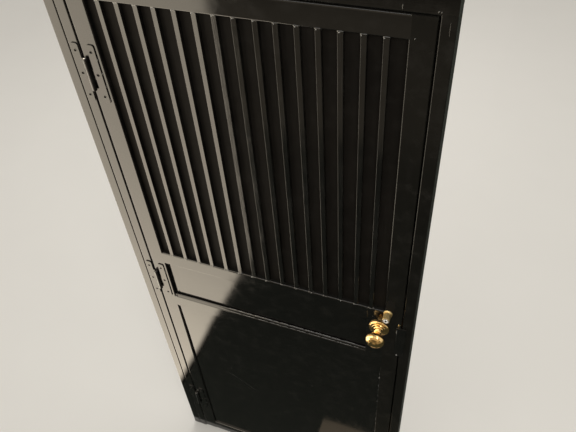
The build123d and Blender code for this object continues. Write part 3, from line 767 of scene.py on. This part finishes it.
@dataclass
class Hinges(SubAssembly):
    """Three butt hinges with their pins, screws and tack welds."""

    count: int = 3
    plate_thick: float = 0.003
    screw_pitch: float = 0.061
    screw_lines: tuple[tuple[str, float], ...] = (("frame", -0.0225), ("leaf", 0.021))
    rim_profile: tuple[Span, ...] = (
        (0.0047, -FOOT_DEPTH), (0.0047, 0.0001575), (0.0042, 0.00045), (0.0033, 0.00036),
        (0.0031, 0.0), (0.0031, -FOOT_DEPTH))
    # A thin dark dome in each screw socket: painted shade.
    painted_shade: Dab = Dab(0.0, 0.0, 0.0031, 0.0031, 0.00006)
    worn_radius: float = 0.0034
    worn_rise: float = 0.0012
    worn_sink: float = 0.0001
    worn_levels: int = 5
    tack_seed: int = 7
    tack_gap: float = 0.0005
    tack_spots: tuple[float, ...] = (0.042, 0.004, -0.031, -0.071)
    tack_sizes: tuple[Span, ...] = ((0.0018, 0.0026), (0.0030, 0.0048), (0.0022, 0.0030))
    tack_tilt: float = 0.2

    def build(self) -> None:
        """Dress the hinges, add what their paint and welding left and fill the screw sockets with
        painted shade.
        """
        self.dress(Finish.WELD, "hinge_pins")
        self.worn_pin()
        for side, offset in self.screw_lines:
            self.dress(Finish.HARDWARE, f"{side}_screws", *self.plates(side))
            self.sockets(side, offset)
        self.tacks()

    def plates(self, side: str) -> list[str]:
        """Return the node names of one side's plates."""
        return [f"hinge_plate_{side}_{n}" for n in range(1, self.count + 1)]

    def sockets(self, side: str, offset: float) -> None:
        """Ring each screw's socket with thick paint and fill it with a dark dome of painted shade.

        Args:
            side: The side's name, which is also its body's.
            offset: Distance of the screws from the hinge line.
        """
        x, y = face_centre("hinge_pins").x + offset, FRONT - self.plate_thick
        rims, painted_shade = MeshDraft(), MeshDraft()
        for plate in self.plates(side):
            z = face_centre(plate).z
            for step in (-1, 0, 1):
                spot = Vector((x, y, z + step * self.screw_pitch))
                rims.turned(spot, self.rim_profile)
                painted_shade.dome(self.painted_shade, spot)
        rims.piece(f"screw_rims_{side}", "black_enamel", Finish.HARDWARE, side)
        painted_shade.piece(f"screw_painted_shade_{side}", "black_enamel", Finish.PAINTED_SHADE, side)

    def worn_pin(self) -> None:
        """Cap the uppermost pin where its paint has worn off."""
        low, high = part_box("hinge_pins")
        centre = (low + high) / 2
        centre.z = high.z - self.worn_sink
        draft = MeshDraft()
        rings = []
        for k in range(self.worn_levels):
            rise = k / self.worn_levels * math.pi / 2
            radius, lift = self.worn_radius * math.cos(rise), self.worn_rise * math.sin(rise)
            rings.append(draft.ring(centre + Vector((radius * math.cos(a),
                                                     radius * math.sin(a), lift))
                                    for a in angles()))
        draft.strip(rings)
        draft.fan(rings[-1], centre + Vector((0, 0, self.worn_rise)), True)
        draft.fan(rings[0], centre, False)
        draft.piece("worn_pin_top", "plain_steel", Finish.BARE_PIN, "frame")

    def tacks(self) -> None:
        """Tack-weld the free edge of each leaf plate to the stile."""
        draft = MeshDraft()
        dice = random.Random(self.tack_seed)
        for plate in self.plates("leaf"):
            x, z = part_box(plate)[1].x + self.tack_gap, face_centre(plate).z
            for spot in self.tack_spots:
                size = [dice.uniform(*span) for span in self.tack_sizes]
                draft.dome(Dab(x, z + spot, *size),
                           tilt=dice.uniform(-self.tack_tilt, self.tack_tilt))
        draft.piece("hinge_tacks", "black_enamel", Finish.WELD)


@dataclass
class LeafTubes(SubAssembly):
    """Stiles, rails and the lock box tube of the leaf."""

    dabs: tuple[Dab, ...] = (
        Dab(0.3839, 2.0294, 0.0016, 0.0018, 0.0010), Dab(0.3747, 0.8442, 0.0013, 0.0018, 0.0009),
        Dab(-0.3375, 0.9795, 0.0030, 0.0024, 0.0018), Dab(0.3385, 1.1600, 0.0009, 0.0011, 0.0006),
        Dab(0.3340, 1.1310, 0.0008, 0.0009, 0.0006), Dab(0.3700, 1.1720, 0.0010, 0.0008, 0.0006))
    joint_seed: int = 23
    joint_bead: WeldBead = WeldBead(radius=0.0011, ripple=0.05, press=0.4545)
    joints: tuple[tuple[str, str], ...] = (("rail_lock", "lock_box_tube"),
                                           ("rail_mid", "stile_lock"))

    def build(self) -> None:
        """Dress the tubes, mark their ground joints and add the dabs of the welding."""
        self.dress(Finish.UPRIGHT, "stile_hinge", "lock_box_tube")
        self.dress(Finish.WORN_UPRIGHT, "stile_lock")
        self.dress(Finish.LEVEL, "rail_top", "rail_lock", "rail_mid", "rail_bottom")
        self.dab_all("leaf_dabs", self.dabs, Finish.WELD)
        self.ground_joints()

    def ground_joints(self) -> None:
        """Lay the low ground bead where rails meet the lock stile and the lock box tube."""
        draft = MeshDraft()
        dice = random.Random(self.joint_seed)
        for rail, upright in self.joints:
            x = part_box(upright)[0].x
            low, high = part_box(rail)
            self.joint_bead.lay(draft, [Vector((x, FRONT, low.z + TUBE_ROUND)),
                                        Vector((x, FRONT, high.z - TUBE_ROUND))], dice)
        draft.piece("joint_beads", "black_enamel", Finish.UPRIGHT)


@dataclass(frozen=True)
class BarEnd:
    """One end of the bars: its rail and where its spatter dots lie, in metres."""

    name: str
    rail: str
    seed: int
    sign: int
    across: Span
    depth: float
    drop: float
    size: float


@dataclass
class BarredBay(SubAssembly):
    """Fifteen square bars welded between the top rail and the lock rail."""

    count: int = 15
    stand_off: float = 0.0004
    corner: float = 0.001
    cheek: float = 0.002
    wrap: Span = (0.004, 0.009)
    bead_radius: Span = (0.0012, 0.0018)
    dot_wide: Span = (0.0019, 0.0027)
    dot_high: Span = (0.0016, 0.0024)
    ends: tuple[BarEnd, ...] = (
        BarEnd("top", "rail_top", 42, -1, (0.001, 0.004), 0.0010, 0.0015, 0.75),
        BarEnd("bottom", "rail_lock", 41, 1, (-0.002, 0.012), 0.0008, 0.0012, 0.85))

    def build(self) -> None:
        """Dress the bars and the sheet, weld each bar at both ends and put a light dot there as a
        painted glint.
        """
        bars = [f"bar_{n:02d}" for n in range(1, self.count + 1)]
        self.dress(Finish.BAR, *bars)
        # The bay sheet's brownish tone is partly painted warm bounce light.
        self.dress(Finish.DULL_SHEET, "bay_sheet")
        for end in self.ends:
            low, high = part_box(end.rail)
            edge = low.z if end.sign < 0 else high.z
            beads, dots = MeshDraft(), MeshDraft()
            dice = random.Random(end.seed)
            for bar in bars:
                self.weld(beads, bar, end, edge, dice)
                self.dot(dots, bar, end, edge, dice)
            beads.piece(f"bar_welds_{end.name}", "bar_enamel", Finish.WELD)
            # Light grey dots: painted glints on the weld spatter.
            dots.piece(f"weld_dots_{end.name}", "bar_enamel", Finish.PAINTED_GLINT)

    def dot(self, draft: MeshDraft, bar: str, end: BarEnd, edge: float,
            dice: random.Random) -> None:
        """Leave a spatter dot at one end of a bar, light grey as a painted glint.

        Args:
            draft: The mesh that receives it.
            bar: The bar's node.
            end: The end that it lies at.
            edge: Height of the rail's flat edge.
            dice: Source of its unevenness.
        """
        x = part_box(bar)[0].x + dice.uniform(*end.across)
        size = [dice.uniform(*span) * end.size
                for span in (self.dot_wide, self.dot_high, self.dot_high)]
        draft.dome(Dab(x, edge - end.drop, *size), Vector((0, FRONT + end.depth, 0)))

    def weld(self, draft: MeshDraft, bar: str, end: BarEnd, edge: float,
             dice: random.Random) -> None:
        """Lay the bead round one end of a bar.

        Args:
            draft: The mesh that receives it.
            bar: The bar's node.
            end: The end that is welded.
            edge: Height of the rail's flat edge.
            dice: Source of its unevenness.
        """
        low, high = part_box(bar)

        def at(x: float, depth: float) -> Vector:
            """Find a point of the line where the bar meets the rail's rounded edge.

            Args:
                x: Place across the bar.
                depth: Distance behind the bar's face.

            Returns:
                The point.
            """
            y = low.y + depth
            inward = min(TUBE_ROUND, max(0.0, y - FRONT))
            drop = TUBE_ROUND - math.sqrt(TUBE_ROUND ** 2 - (TUBE_ROUND - inward) ** 2)
            return Vector((x, y, edge + end.sign * (self.stand_off - drop)))

        path = [at(low.x, dice.uniform(*self.wrap)), at(low.x, self.cheek),
                at(low.x + self.corner, 0.0), at(high.x - self.corner, 0.0),
                at(high.x, self.cheek), at(high.x, dice.uniform(*self.wrap))]
        WeldBead(radius=dice.uniform(*self.bead_radius)).lay(draft, path, dice)


@dataclass(frozen=True)
class Bulge:
    """A broad swelling of a sheet: place and reach by shares of it, height in metres."""

    u: float = 0.0
    v: float = 1.0
    wide: float = 0.20
    high: float = 0.16
    proud: float = 0.0


@dataclass
class Panels(SubAssembly):
    """The two gloss sheets under the lock rail, slightly drawn by their welds."""

    cells: int = 60
    drawn: float = 0.0004
    middle_seed: int = 5
    lower_seed: int = 9
    wave_count: int = 5
    wave_across: Span = (0.8, 2.6)
    wave_up: Span = (0.6, 2.2)
    wave_weight: Span = (0.3, 1.0)
    lower_bulge: Bulge = Bulge(proud=0.0016)
    nicks: tuple[Point, ...] = (
        (-0.2266, 0.6344, 0.0014), (-0.1903, 0.5862, 0.0019), (-0.1870, 0.5950, 0.0011),
        (-0.0740, 0.7600, 0.0012), (0.0610, 0.8640, 0.0012), (0.1350, 0.6420, 0.0013))
    nick_share: float = 0.8
    nick_proud: float = 0.0005
    nick_lift: float = 0.0002
    scrape: tuple[Span, ...] = (
        (-0.2101, 0.5480), (-0.1800, 0.5330), (-0.1450, 0.5060), (-0.1029, 0.4744))
    scrape_lift: float = 0.0003
    scrape_seed: int = 3
    scrape_bead: WeldBead = WeldBead(radius=0.00036, ripple=0.3, pitch=0.011, step=0.002,
                                     sides=6)
    thread: WeldBead = WeldBead(radius=0.00032, ripple=0.3, pitch=0.008, step=0.002, sides=6)
    seam_threads: tuple[Point, ...] = ((0.0072, 0.0088, 0.0006), (0.0022, 0.0006, 0.00045))
    thread_seed: int = 61
    thread_start: float = 0.20
    thread_stop: float = 0.03
    thread_dash: Span = (0.012, 0.045)
    thread_gap: Span = (0.002, 0.008)
    thread_thinning: float = 2.0
    edge_span: Span = (0.865, 0.30)
    edge_place: Span = (0.0004, 0.0020)
    edge_dash: Span = (0.008, 0.025)
    edge_gap: Span = (0.012, 0.040)
    edge_dot: Dab = Dab(0.0014, 0.8423, 0.0018, 0.0022, 0.0012)
    edge_dot_depth: float = 0.0004
    seam_seed: int = 31
    seam_cells: int = 160
    seam_knot: int = 8
    seam_sway: float = 0.0006
    seam_lift: float = 0.0088
    seam_inset: float = 0.0004
    seam_profile: tuple[Point, ...] = (
        (0.0020, 0.0, -0.0008), (0.0024, 0.0, 0.0012), (0.0036, 0.80, 0.0),
        (0.0042, 0.93, 0.0), (0.0068, 1.0, -0.0002), (0.0080, 1.0, 0.0),
        (0.0088, 1.0, -0.0006), (0.0118, 1.0, -0.0030), (0.0118, 0.0, -0.0008))
    fill_inset: float = 0.0003
    fill_film: float = 0.00003
    fill_depth: float = 0.0004
    fill_height: float = TUBE_ROUND * 1.1

    def build(self) -> None:
        """Make the sheets with their gentle waves, the filled seams, the thin light lines of
        painted highlight and the marks.
        """
        self.sheet("middle_panel", self.middle_seed, Bulge())
        self.sheet("lower_panel", self.lower_seed, self.lower_bulge)
        self.foot_seam()
        self.rail_seam()
        self.threads()
        self.marks()

    def threads(self) -> None:
        """Leave thin broken light lines on the seam and beside the panel: painted highlights along
        their edges.
        """
        low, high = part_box("middle_panel")
        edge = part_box("rail_mid")[1].z
        dice = random.Random(self.thread_seed)
        draft = MeshDraft()
        for depth, rise, radius in self.seam_threads:
            bead = replace(self.thread, radius=radius)
            y, z = FRONT + depth, edge + rise
            x = low.x + self.thread_start
            while x < high.x - self.thread_stop:
                end = x + dice.uniform(*self.thread_dash)
                bead.lay(draft, [Vector((x, y, z)), Vector((end, y, z))], dice)
                x = end + dice.uniform(*self.thread_gap) * (
                    1.0 + self.thread_thinning * (x - low.x))
        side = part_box("stile_lock")[0].x
        x, y = side + self.edge_place[0], FRONT + self.edge_place[1]
        z, foot = self.edge_span
        while z > foot:
            end = z - dice.uniform(*self.edge_dash)
            self.thread.lay(draft, [Vector((x, y, z)), Vector((x, y, end))], dice)
            z = end - dice.uniform(*self.edge_gap)
        draft.dome(self.edge_dot, Vector((side, FRONT + self.edge_dot_depth, 0)))
        # Light grey lines and dot: painted highlights.
        draft.piece("seam_lines", "sheet_enamel", Finish.PAINTED_GLINT)

    def rail_seam(self) -> None:
        """Fill the round of the mid rail flush where the lower panel starts."""
        low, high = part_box("lower_panel")
        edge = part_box("rail_mid")[0].z
        front, back, top = FRONT - self.fill_film, low.y + self.fill_depth, edge + self.fill_height
        draft = MeshDraft()
        ends = [draft.ring(Vector((x, y, z)) for y, z in (
            (front, top), (front, edge), (back, edge), (back, top)))
            for x in (low.x + self.fill_inset, high.x - self.fill_inset)]
        draft.strip(ends)
        draft.caps(ends, True)
        draft.piece("mid_rail_seam", "black_enamel", Finish.LEVEL)

    def marks(self) -> None:
        """Leave the nicks and the long scrape on the lower panel."""
        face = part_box("lower_panel")[0].y
        draft = MeshDraft()
        for x, z, wide in self.nicks:
            draft.dome(Dab(x, z, wide, wide * self.nick_share, self.nick_proud),
                       Vector((0, face - self.nick_lift, 0)))
        self.scrape_bead.lay(draft, [Vector((x, face - self.scrape_lift, z))
                                     for x, z in self.scrape],
                             random.Random(self.scrape_seed))
        draft.piece("lower_panel_marks", "sheet_enamel", Finish.SCUFF)

    def foot_seam(self) -> None:
        """Lay the filled seam that slopes from the mid rail's front to the middle panel."""
        low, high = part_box("middle_panel")
        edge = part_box("rail_mid")[1].z
        draft = MeshDraft()
        count = self.seam_cells + 1
        sways = drift(random.Random(self.seam_seed), self.seam_sway, count, self.seam_knot)
        start, width = low.x + self.seam_inset, high.x - low.x - 2 * self.seam_inset
        rings = []
        for i in range(count):
            x = start + width * i / self.seam_cells
            rise = self.seam_lift + sways[i]
            rings.append(draft.ring(Vector((x, FRONT + depth, edge + rise * share + shift))
                                    for depth, share, shift in self.seam_profile))
        draft.strip(rings)
        draft.caps(rings, False)
        draft.piece("middle_panel_seam", "sheet_enamel", Finish.PANEL)

    def sheet(self, node: str, seed: int, bulge: Bulge) -> None:
        """Replace one flat sheet by a slightly wavy one.

        Args:
            node: The CAD sheet that it stands for.
            seed: Source of its waves.
            bulge: Where the welding drew it forward.
        """
        low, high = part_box(node)
        dice = random.Random(seed)
        spans = (self.wave_across, self.wave_up, (0, math.tau), self.wave_weight)
        waves = [[dice.uniform(*span) for span in spans] for _ in range(self.wave_count)]
        total = sum(wave[3] for wave in waves)

        def bow(u: float, v: float) -> float:
            """Find how far the sheet bows backward at one place.

            Args:
                u: Share of its width.
                v: Share of its height.

            Returns:
                The distance in metres.
            """
            edge = math.sin(math.pi * u) * math.sin(math.pi * v)
            wave = sum(a * math.sin(math.pi * (p * u + q * v) + s)
                       for p, q, s, a in waves) / total
            swell = math.exp(-((u - bulge.u) / bulge.wide) ** 2
                             - ((v - bulge.v) / bulge.high) ** 2)
            return self.drawn * edge * wave - bulge.proud * swell

        draft = MeshDraft()
        shares = [i / self.cells for i in range(self.cells + 1)]
        size = high - low
        skins = [[draft.ring(Vector((low.x + size.x * u, y + bow(u, v), low.z + size.z * v))
                             for u in shares) for v in shares] for y in (low.y, high.y)]
        self.skin(draft, skins[0], False)
        self.skin(draft, skins[1], True)
        rims = [rows[0][:-1] + [row[-1] for row in rows[:-1]]
                + rows[-1][:0:-1] + [row[0] for row in rows[:0:-1]] for rows in skins]
        draft.bridge(rims[1], rims[0])
        made = draft.piece(f"{node}_drawn", "sheet_enamel", Finish.PANEL)
        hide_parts(node)

    @staticmethod
    def skin(draft: MeshDraft, rows: list[list[int]], back: bool) -> None:
        """Face one side of a sheet.

        Args:
            draft: The mesh that receives it.
            rows: The side's point numbers, row by row.
            back: True for the side that looks backward.
        """
        for lower, upper in zip(rows, rows[1:]):
            for quad in zip(lower, lower[1:], upper[1:], upper):
                draft.faces.append(quad[::-1] if back else quad)


@dataclass(frozen=True)
class FaceRing:
    """A low rounded ring on the lock cylinder's face, sizes in metres."""

    name: str
    node: str
    body: str
    finish: Finish
    outer: float
    inner: float
    rise: float

    edge_share: float = 0.3
    slope_share: float = 0.85
    sides: int = 32

    def build(self) -> None:
        """Turn the ring on the face of its node."""
        centre = face_centre(self.node)
        middle = (self.outer + self.inner) / 2
        edge, slope = self.rise * self.edge_share, self.rise * self.slope_share
        draft = MeshDraft()
        draft.turned(centre, [(self.outer, -FOOT_DEPTH), (self.outer, edge),
                              ((self.outer + middle) / 2, slope), (middle, self.rise),
                              ((self.inner + middle) / 2, slope), (self.inner, edge),
                              (self.inner, -FOOT_DEPTH)], self.sides)
        draft.piece(self.name, "polished_brass", self.finish, self.body)


@dataclass
class Locks(SubAssembly):
    """Knobs, lock cylinder, latch and night latch."""

    # The nickel rings show as light arcs: partly painted highlight.
    face_rings: tuple[FaceRing, ...] = (
        FaceRing("cylinder_face_rim", "cylinder_body", "leaf", Finish.LACQUER,
                 0.0102, 0.0080, 0.0007),
        FaceRing("cylinder_face_ring", "cylinder_body", "leaf", Finish.NICKEL_AND_GLINT,
                 0.0080, 0.0063, 0.0008),
        FaceRing("cylinder_plug_rim", "cylinder_plug", "night_turn", Finish.NICKEL_AND_GLINT,
                 0.0058, 0.0044, 0.0007))
    # A dark dome over the key slot: painted shade.
    keyway_shade: Dab = Dab(0.0, 0.0, 0.0021, 0.0058, 0.00012)
    dull_size: Point = (0.0125, 0.038, 0.00006)
    dull_rise: float = 0.024
    dull_edge: float = TUBE_ROUND * 0.6
    dull_sides: int = 32
    guard_seed: int = 17
    guard_bead: WeldBead = WeldBead(radius=0.0015, ripple=0.10, pitch=0.006)
    guard_gap: float = 0.0004
    guard_inset: float = 0.004
    guard_low_dot: Dab = Dab(0.0065, 0.0040, 0.0022, 0.0026, 0.0014)
    guard_high_dot: Dab = Dab(-0.0007, -0.023, 0.0020, 0.0120, 0.0026)
    # A small brass dome above the guard plate's top corner, standing in for a warm glint there:
    # painted highlight.
    warm_glint: Dab = Dab(0.4146, 1.1494, 0.0024, 0.0070, 0.0016)

    def build(self) -> None:
        """Dress the locks and add what paint, welding and wear left on them, with painted shade in
        the key slot, painted glints on and above the guard plate and light nickel rings that are
        partly painted highlight.
        """
        self.dress(Finish.BRASS, "rose_outer", "rose_inner", "knob_outer", "knob_inner")
        self.dress(Finish.LOCK_BRASS, "cylinder_body", "cylinder_ring")
        self.dress(Finish.NICKEL_AND_GLINT, "cylinder_plug")
        self.dress(Finish.WORN_BRASS, "latch_faceplate", "latch_bolt")
        self.dress(Finish.STEEL, "latch_case", "latch_follower", "knob_spindle",
                   "connecting_bar", "night_latch_bolt")
        self.dress(Finish.LACQUER, "night_latch_case")
        self.dress(Finish.CHROME, "night_latch_turn")
        self.dress(Finish.HARDWARE, "guard_plate")
        self.cylinder_face()
        self.dulling()
        self.guard_welds()
        # Brass dome as a painted highlight of the warm glint.
        self.dab_all("guard_warm_glint", [self.warm_glint], Finish.LOCK_BRASS, "worn_brass")

    def cylinder_face(self) -> None:
        """Round over the cylinder's face and paint the shade in its key slot as a dark dome."""
        for ring in self.face_rings:
            ring.build()
        slot = MeshDraft()
        slot.dome(self.keyway_shade, face_centre("cylinder_plug"))
        slot.piece("cylinder_keyway", "worn_brass", Finish.PAINTED_SHADE, "night_turn")

    def dulling(self) -> None:
        """Dull the paint above the cylinder, where its polishing has rubbed the gloss off."""
        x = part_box("stile_lock")[0].x + self.dull_edge + self.dull_size[0]
        patch = Dab(x, face_centre("cylinder_ring").z + self.dull_rise, *self.dull_size)
        self.dab_all("cylinder_dulling", [patch], Finish.DULLED, sides=self.dull_sides)

    def guard_welds(self) -> None:
        """Weld the guard plate along its free edge and put light dots at its corners as painted
        glints.
        """
        low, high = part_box("guard_plate")
        x, y = low.x - self.guard_gap, FRONT - self.guard_gap
        bead = MeshDraft()
        self.guard_bead.lay(bead, [Vector((x, y, low.z + self.guard_inset)),
                                   Vector((x, y, high.z - self.guard_inset))],
                            random.Random(self.guard_seed))
        bead.piece("guard_welds", "black_enamel", Finish.WELD)
        # Light grey dots at the plate's corners: painted glints.
        dots = MeshDraft()
        dots.dome(self.guard_low_dot, low)
        dots.dome(self.guard_high_dot, Vector((low.x, FRONT, high.z)))
        dots.piece("guard_weld_dots", "black_enamel", Finish.PAINTED_GLINT)


@dataclass(frozen=True)
class Lamp:
    """One soft square lamp: where it stands and points, its side and its watts."""

    name: str
    place: Point
    aim: Point
    size: float
    power: float

    def build(self) -> None:
        """Hang the lamp."""
        data = bpy.data.lights.new(self.name, "AREA")
        data.shape = "SQUARE"
        data.size = self.size
        data.energy = self.power
        made = add_object(self.name, data)
        turn = (Vector(self.place) - Vector(self.aim)).to_track_quat("Z", "Y")
        made.matrix_world = Matrix.Translation(self.place) @ turn.to_matrix().to_4x4()


@dataclass(frozen=True)
class Fade:
    """A part of a card's glow, fading in between two places along each axis it names."""

    gain: float
    bands: tuple[tuple[str, float, float], ...]


@dataclass(frozen=True)
class Glow:
    """The glow of a card."""

    name: str
    tone: Colour
    base: float
    fades: tuple[Fade, ...] = ()

    @cached_property
    def material(self) -> bpy.types.Material:
        """Make the glow's material when it is first asked for.

        Returns:
            The material.
        """
        board = NodeBoard(bpy.data.materials.new(self.name))
        strength: object = self.base
        for fade in self.fades:
            part: object = fade.gain
            for axis, low, high in fade.bands:
                part = board.times(board.band(board.along(board.place, axis), low, high), part)
            strength = board.plus(part, strength)
        return board.surface("ShaderNodeEmission", Color=self.tone, Strength=strength)


@dataclass(frozen=True)
class Card:
    """A flat upright or level card between two opposite corners."""

    name: str
    low: Point
    high: Point

    def build(self, material: bpy.types.Material) -> bpy.types.Object:
        """Make the card as a part of the stage.

        Args:
            material: Its material.

        Returns:
            The card.
        """
        first, second = (axis for axis in range(3) if self.low[axis] != self.high[axis])
        corners = [list(self.low) for _ in range(4)]
        for number in (1, 2):
            corners[number][first] = self.high[first]
        for number in (2, 3):
            corners[number][second] = self.high[second]
        mesh = bpy.data.meshes.new(self.name)
        mesh.from_pydata(corners, [], [(0, 1, 2, 3)])
        mesh.materials.append(material)
        made = add_object(self.name, mesh)
        return made


@dataclass
class Studio:
    """Floor, lights, reflecting cards and camera around the door."""

    floor_tone: Colour = (0.80, 0.765, 0.70)
    floor_shade: Colour = (0.776, 0.74205, 0.679)
    floor_grain: Grain = Grain(3.0)
    floor_rough: float = 0.9
    floor_specular: float = 0.1
    floor_card: Card = Card("floor", (-30.0, -30.0, 0.0), (30.0, 30.0, 0.0))
    sky_tone: Colour = (0.98, 0.97, 0.95)
    sky: float = 0.65
    seen_sky: float = 0.9
    camera_place: Point = (0.55825, -1.015, 2.5825)
    camera_right: Point = (0.93159, 0.35829, -0.06137)
    camera_up: Point = (-0.21247, 0.67369, 0.70782)
    camera_back: Point = (0.29495, -0.64636, 0.70373)
    lens: float = 37.622
    sensor: float = 36.0
    clip: float = 0.02
    lamps: tuple[Lamp, ...] = (
        Lamp("key_light", (1.6, -2.4, 3.6), (0.0, 0.0, 0.9), 1.6, 46.0),
        Lamp("back_light", (-1.2, 3.0, 3.2), (0.0, 0.0, 1.0), 2.0, 40.0))

    bounce: Glow = Glow("bounce_card", (1.0, 0.88, 0.70), 0.0, (
        Fade(3.95, (("Z", 0.29, 0.37), ("Y", -0.80, -0.71))),))
    bright_sky: Glow = Glow("sky_card", (0.98, 0.97, 0.95), 2.8)
    dark_floor: Glow = Glow("dark_floor", (0.92, 1.0, 0.80), 0.055)
    dark_front: Glow = Glow("dark_front", (1.0, 0.84, 0.62), 0.10, (
        Fade(0.22, (("Z", 1.10, 0.90),)), Fade(0.48, (("Z", 1.32, 1.60),))))
    warm_foot: Glow = Glow("warm_foot", (1.0, 0.80, 0.56), 0.40)
    dark_behind: Glow = Glow("dark_behind", (1.0, 1.0, 1.0), 0.01)
    cards: tuple[tuple[Card, Glow], ...] = (
        (Card("bounce_card", (-0.47, -0.82, 0.28), (-0.47, -0.016, 2.6)), bounce),
        (Card("sky_card", (-2.4, -2.0, 5.6), (2.4, 1.4, 5.6)), bright_sky),
        (Card("dark_floor_card", (-5.0, -2.2, 0.004), (5.0, -0.03, 0.004)), dark_floor),
        (Card("dark_side_card", (0.47, -0.03, 0.004), (6.0, 12.0, 0.004)), dark_floor),
        (Card("dark_front_card", (-5.0, -2.2, 0.004), (5.0, -2.2, 5.6)), dark_front),
        (Card("warm_foot_card", (0.10, -0.20, 0.008), (0.62, -0.032, 0.008)), warm_foot),
        (Card("dark_back_card", (0.38, 0.10, 0.95), (0.46, 0.10, 1.60)), dark_behind))

    def build(self) -> None:
        """Set up the studio."""
        self.camera()
        self.floor()
        self.world()
        for lamp in self.lamps:
            lamp.build()
        for card, glow in self.cards:
            self.mirrored_only(card.build(glow.material))
        bpy.context.scene.view_settings.view_transform = "Standard"

    def camera(self) -> None:
        """Place the camera as the photograph was taken."""
        data = bpy.data.cameras.new("camera")
        data.lens = self.lens
        data.sensor_width = self.sensor
        data.clip_start = self.clip
        made = add_object("camera", data)
        turn = Matrix((self.camera_right, self.camera_up, self.camera_back)).transposed()
        made.matrix_world = Matrix.Translation(self.camera_place) @ turn.to_4x4()
        bpy.context.scene.camera = made

    def floor(self) -> None:
        """Lay the pale floor."""
        board = NodeBoard(bpy.data.materials.new("pale_floor"))
        tone = board.mix(board.noise(self.floor_grain), self.floor_tone, self.floor_shade)
        self.floor_card.build(board.surface(Base_Color=tone, Roughness=self.floor_rough,
                                            Specular_IOR_Level=self.floor_specular))

    def world(self) -> None:
        """Light the room softly and show it pale."""
        room = bpy.data.worlds.new("room")
        board = NodeBoard(room)
        ray = board.add("ShaderNodeLightPath").outputs
        seen = board.most(ray["Is Camera Ray"], ray["Is Glossy Ray"],
                          ray["Is Transmission Ray"])
        mix = board.add("ShaderNodeMixShader", Fac=seen)
        for number, strength in enumerate((self.sky, self.seen_sky), 1):
            shade = board.add("ShaderNodeBackground", Color=self.sky_tone, Strength=strength)
            board.feed(mix.inputs[number], shade.outputs[0])
        board.add("ShaderNodeOutputWorld", Surface=mix.outputs[0])
        bpy.context.scene.world = room

    @staticmethod
    def mirrored_only(card: bpy.types.Object) -> None:
        """Let a card show in gloss alone."""
        for way in ("camera", "diffuse", "shadow", "transmission", "volume_scatter"):
            setattr(card, f"visible_{way}", False)


def main() -> None:
    """Build the door's looks, piece by piece."""
    logging.basicConfig(level=logging.INFO, format="%(name)s %(message)s")
    for part in (Studio(), FrameTubes(), Hinges(), LeafTubes(), BarredBay(), Panels(), Locks()):
        log.info("%s", type(part).__name__)
        part.build()


if __name__ == "__main__":
    main()
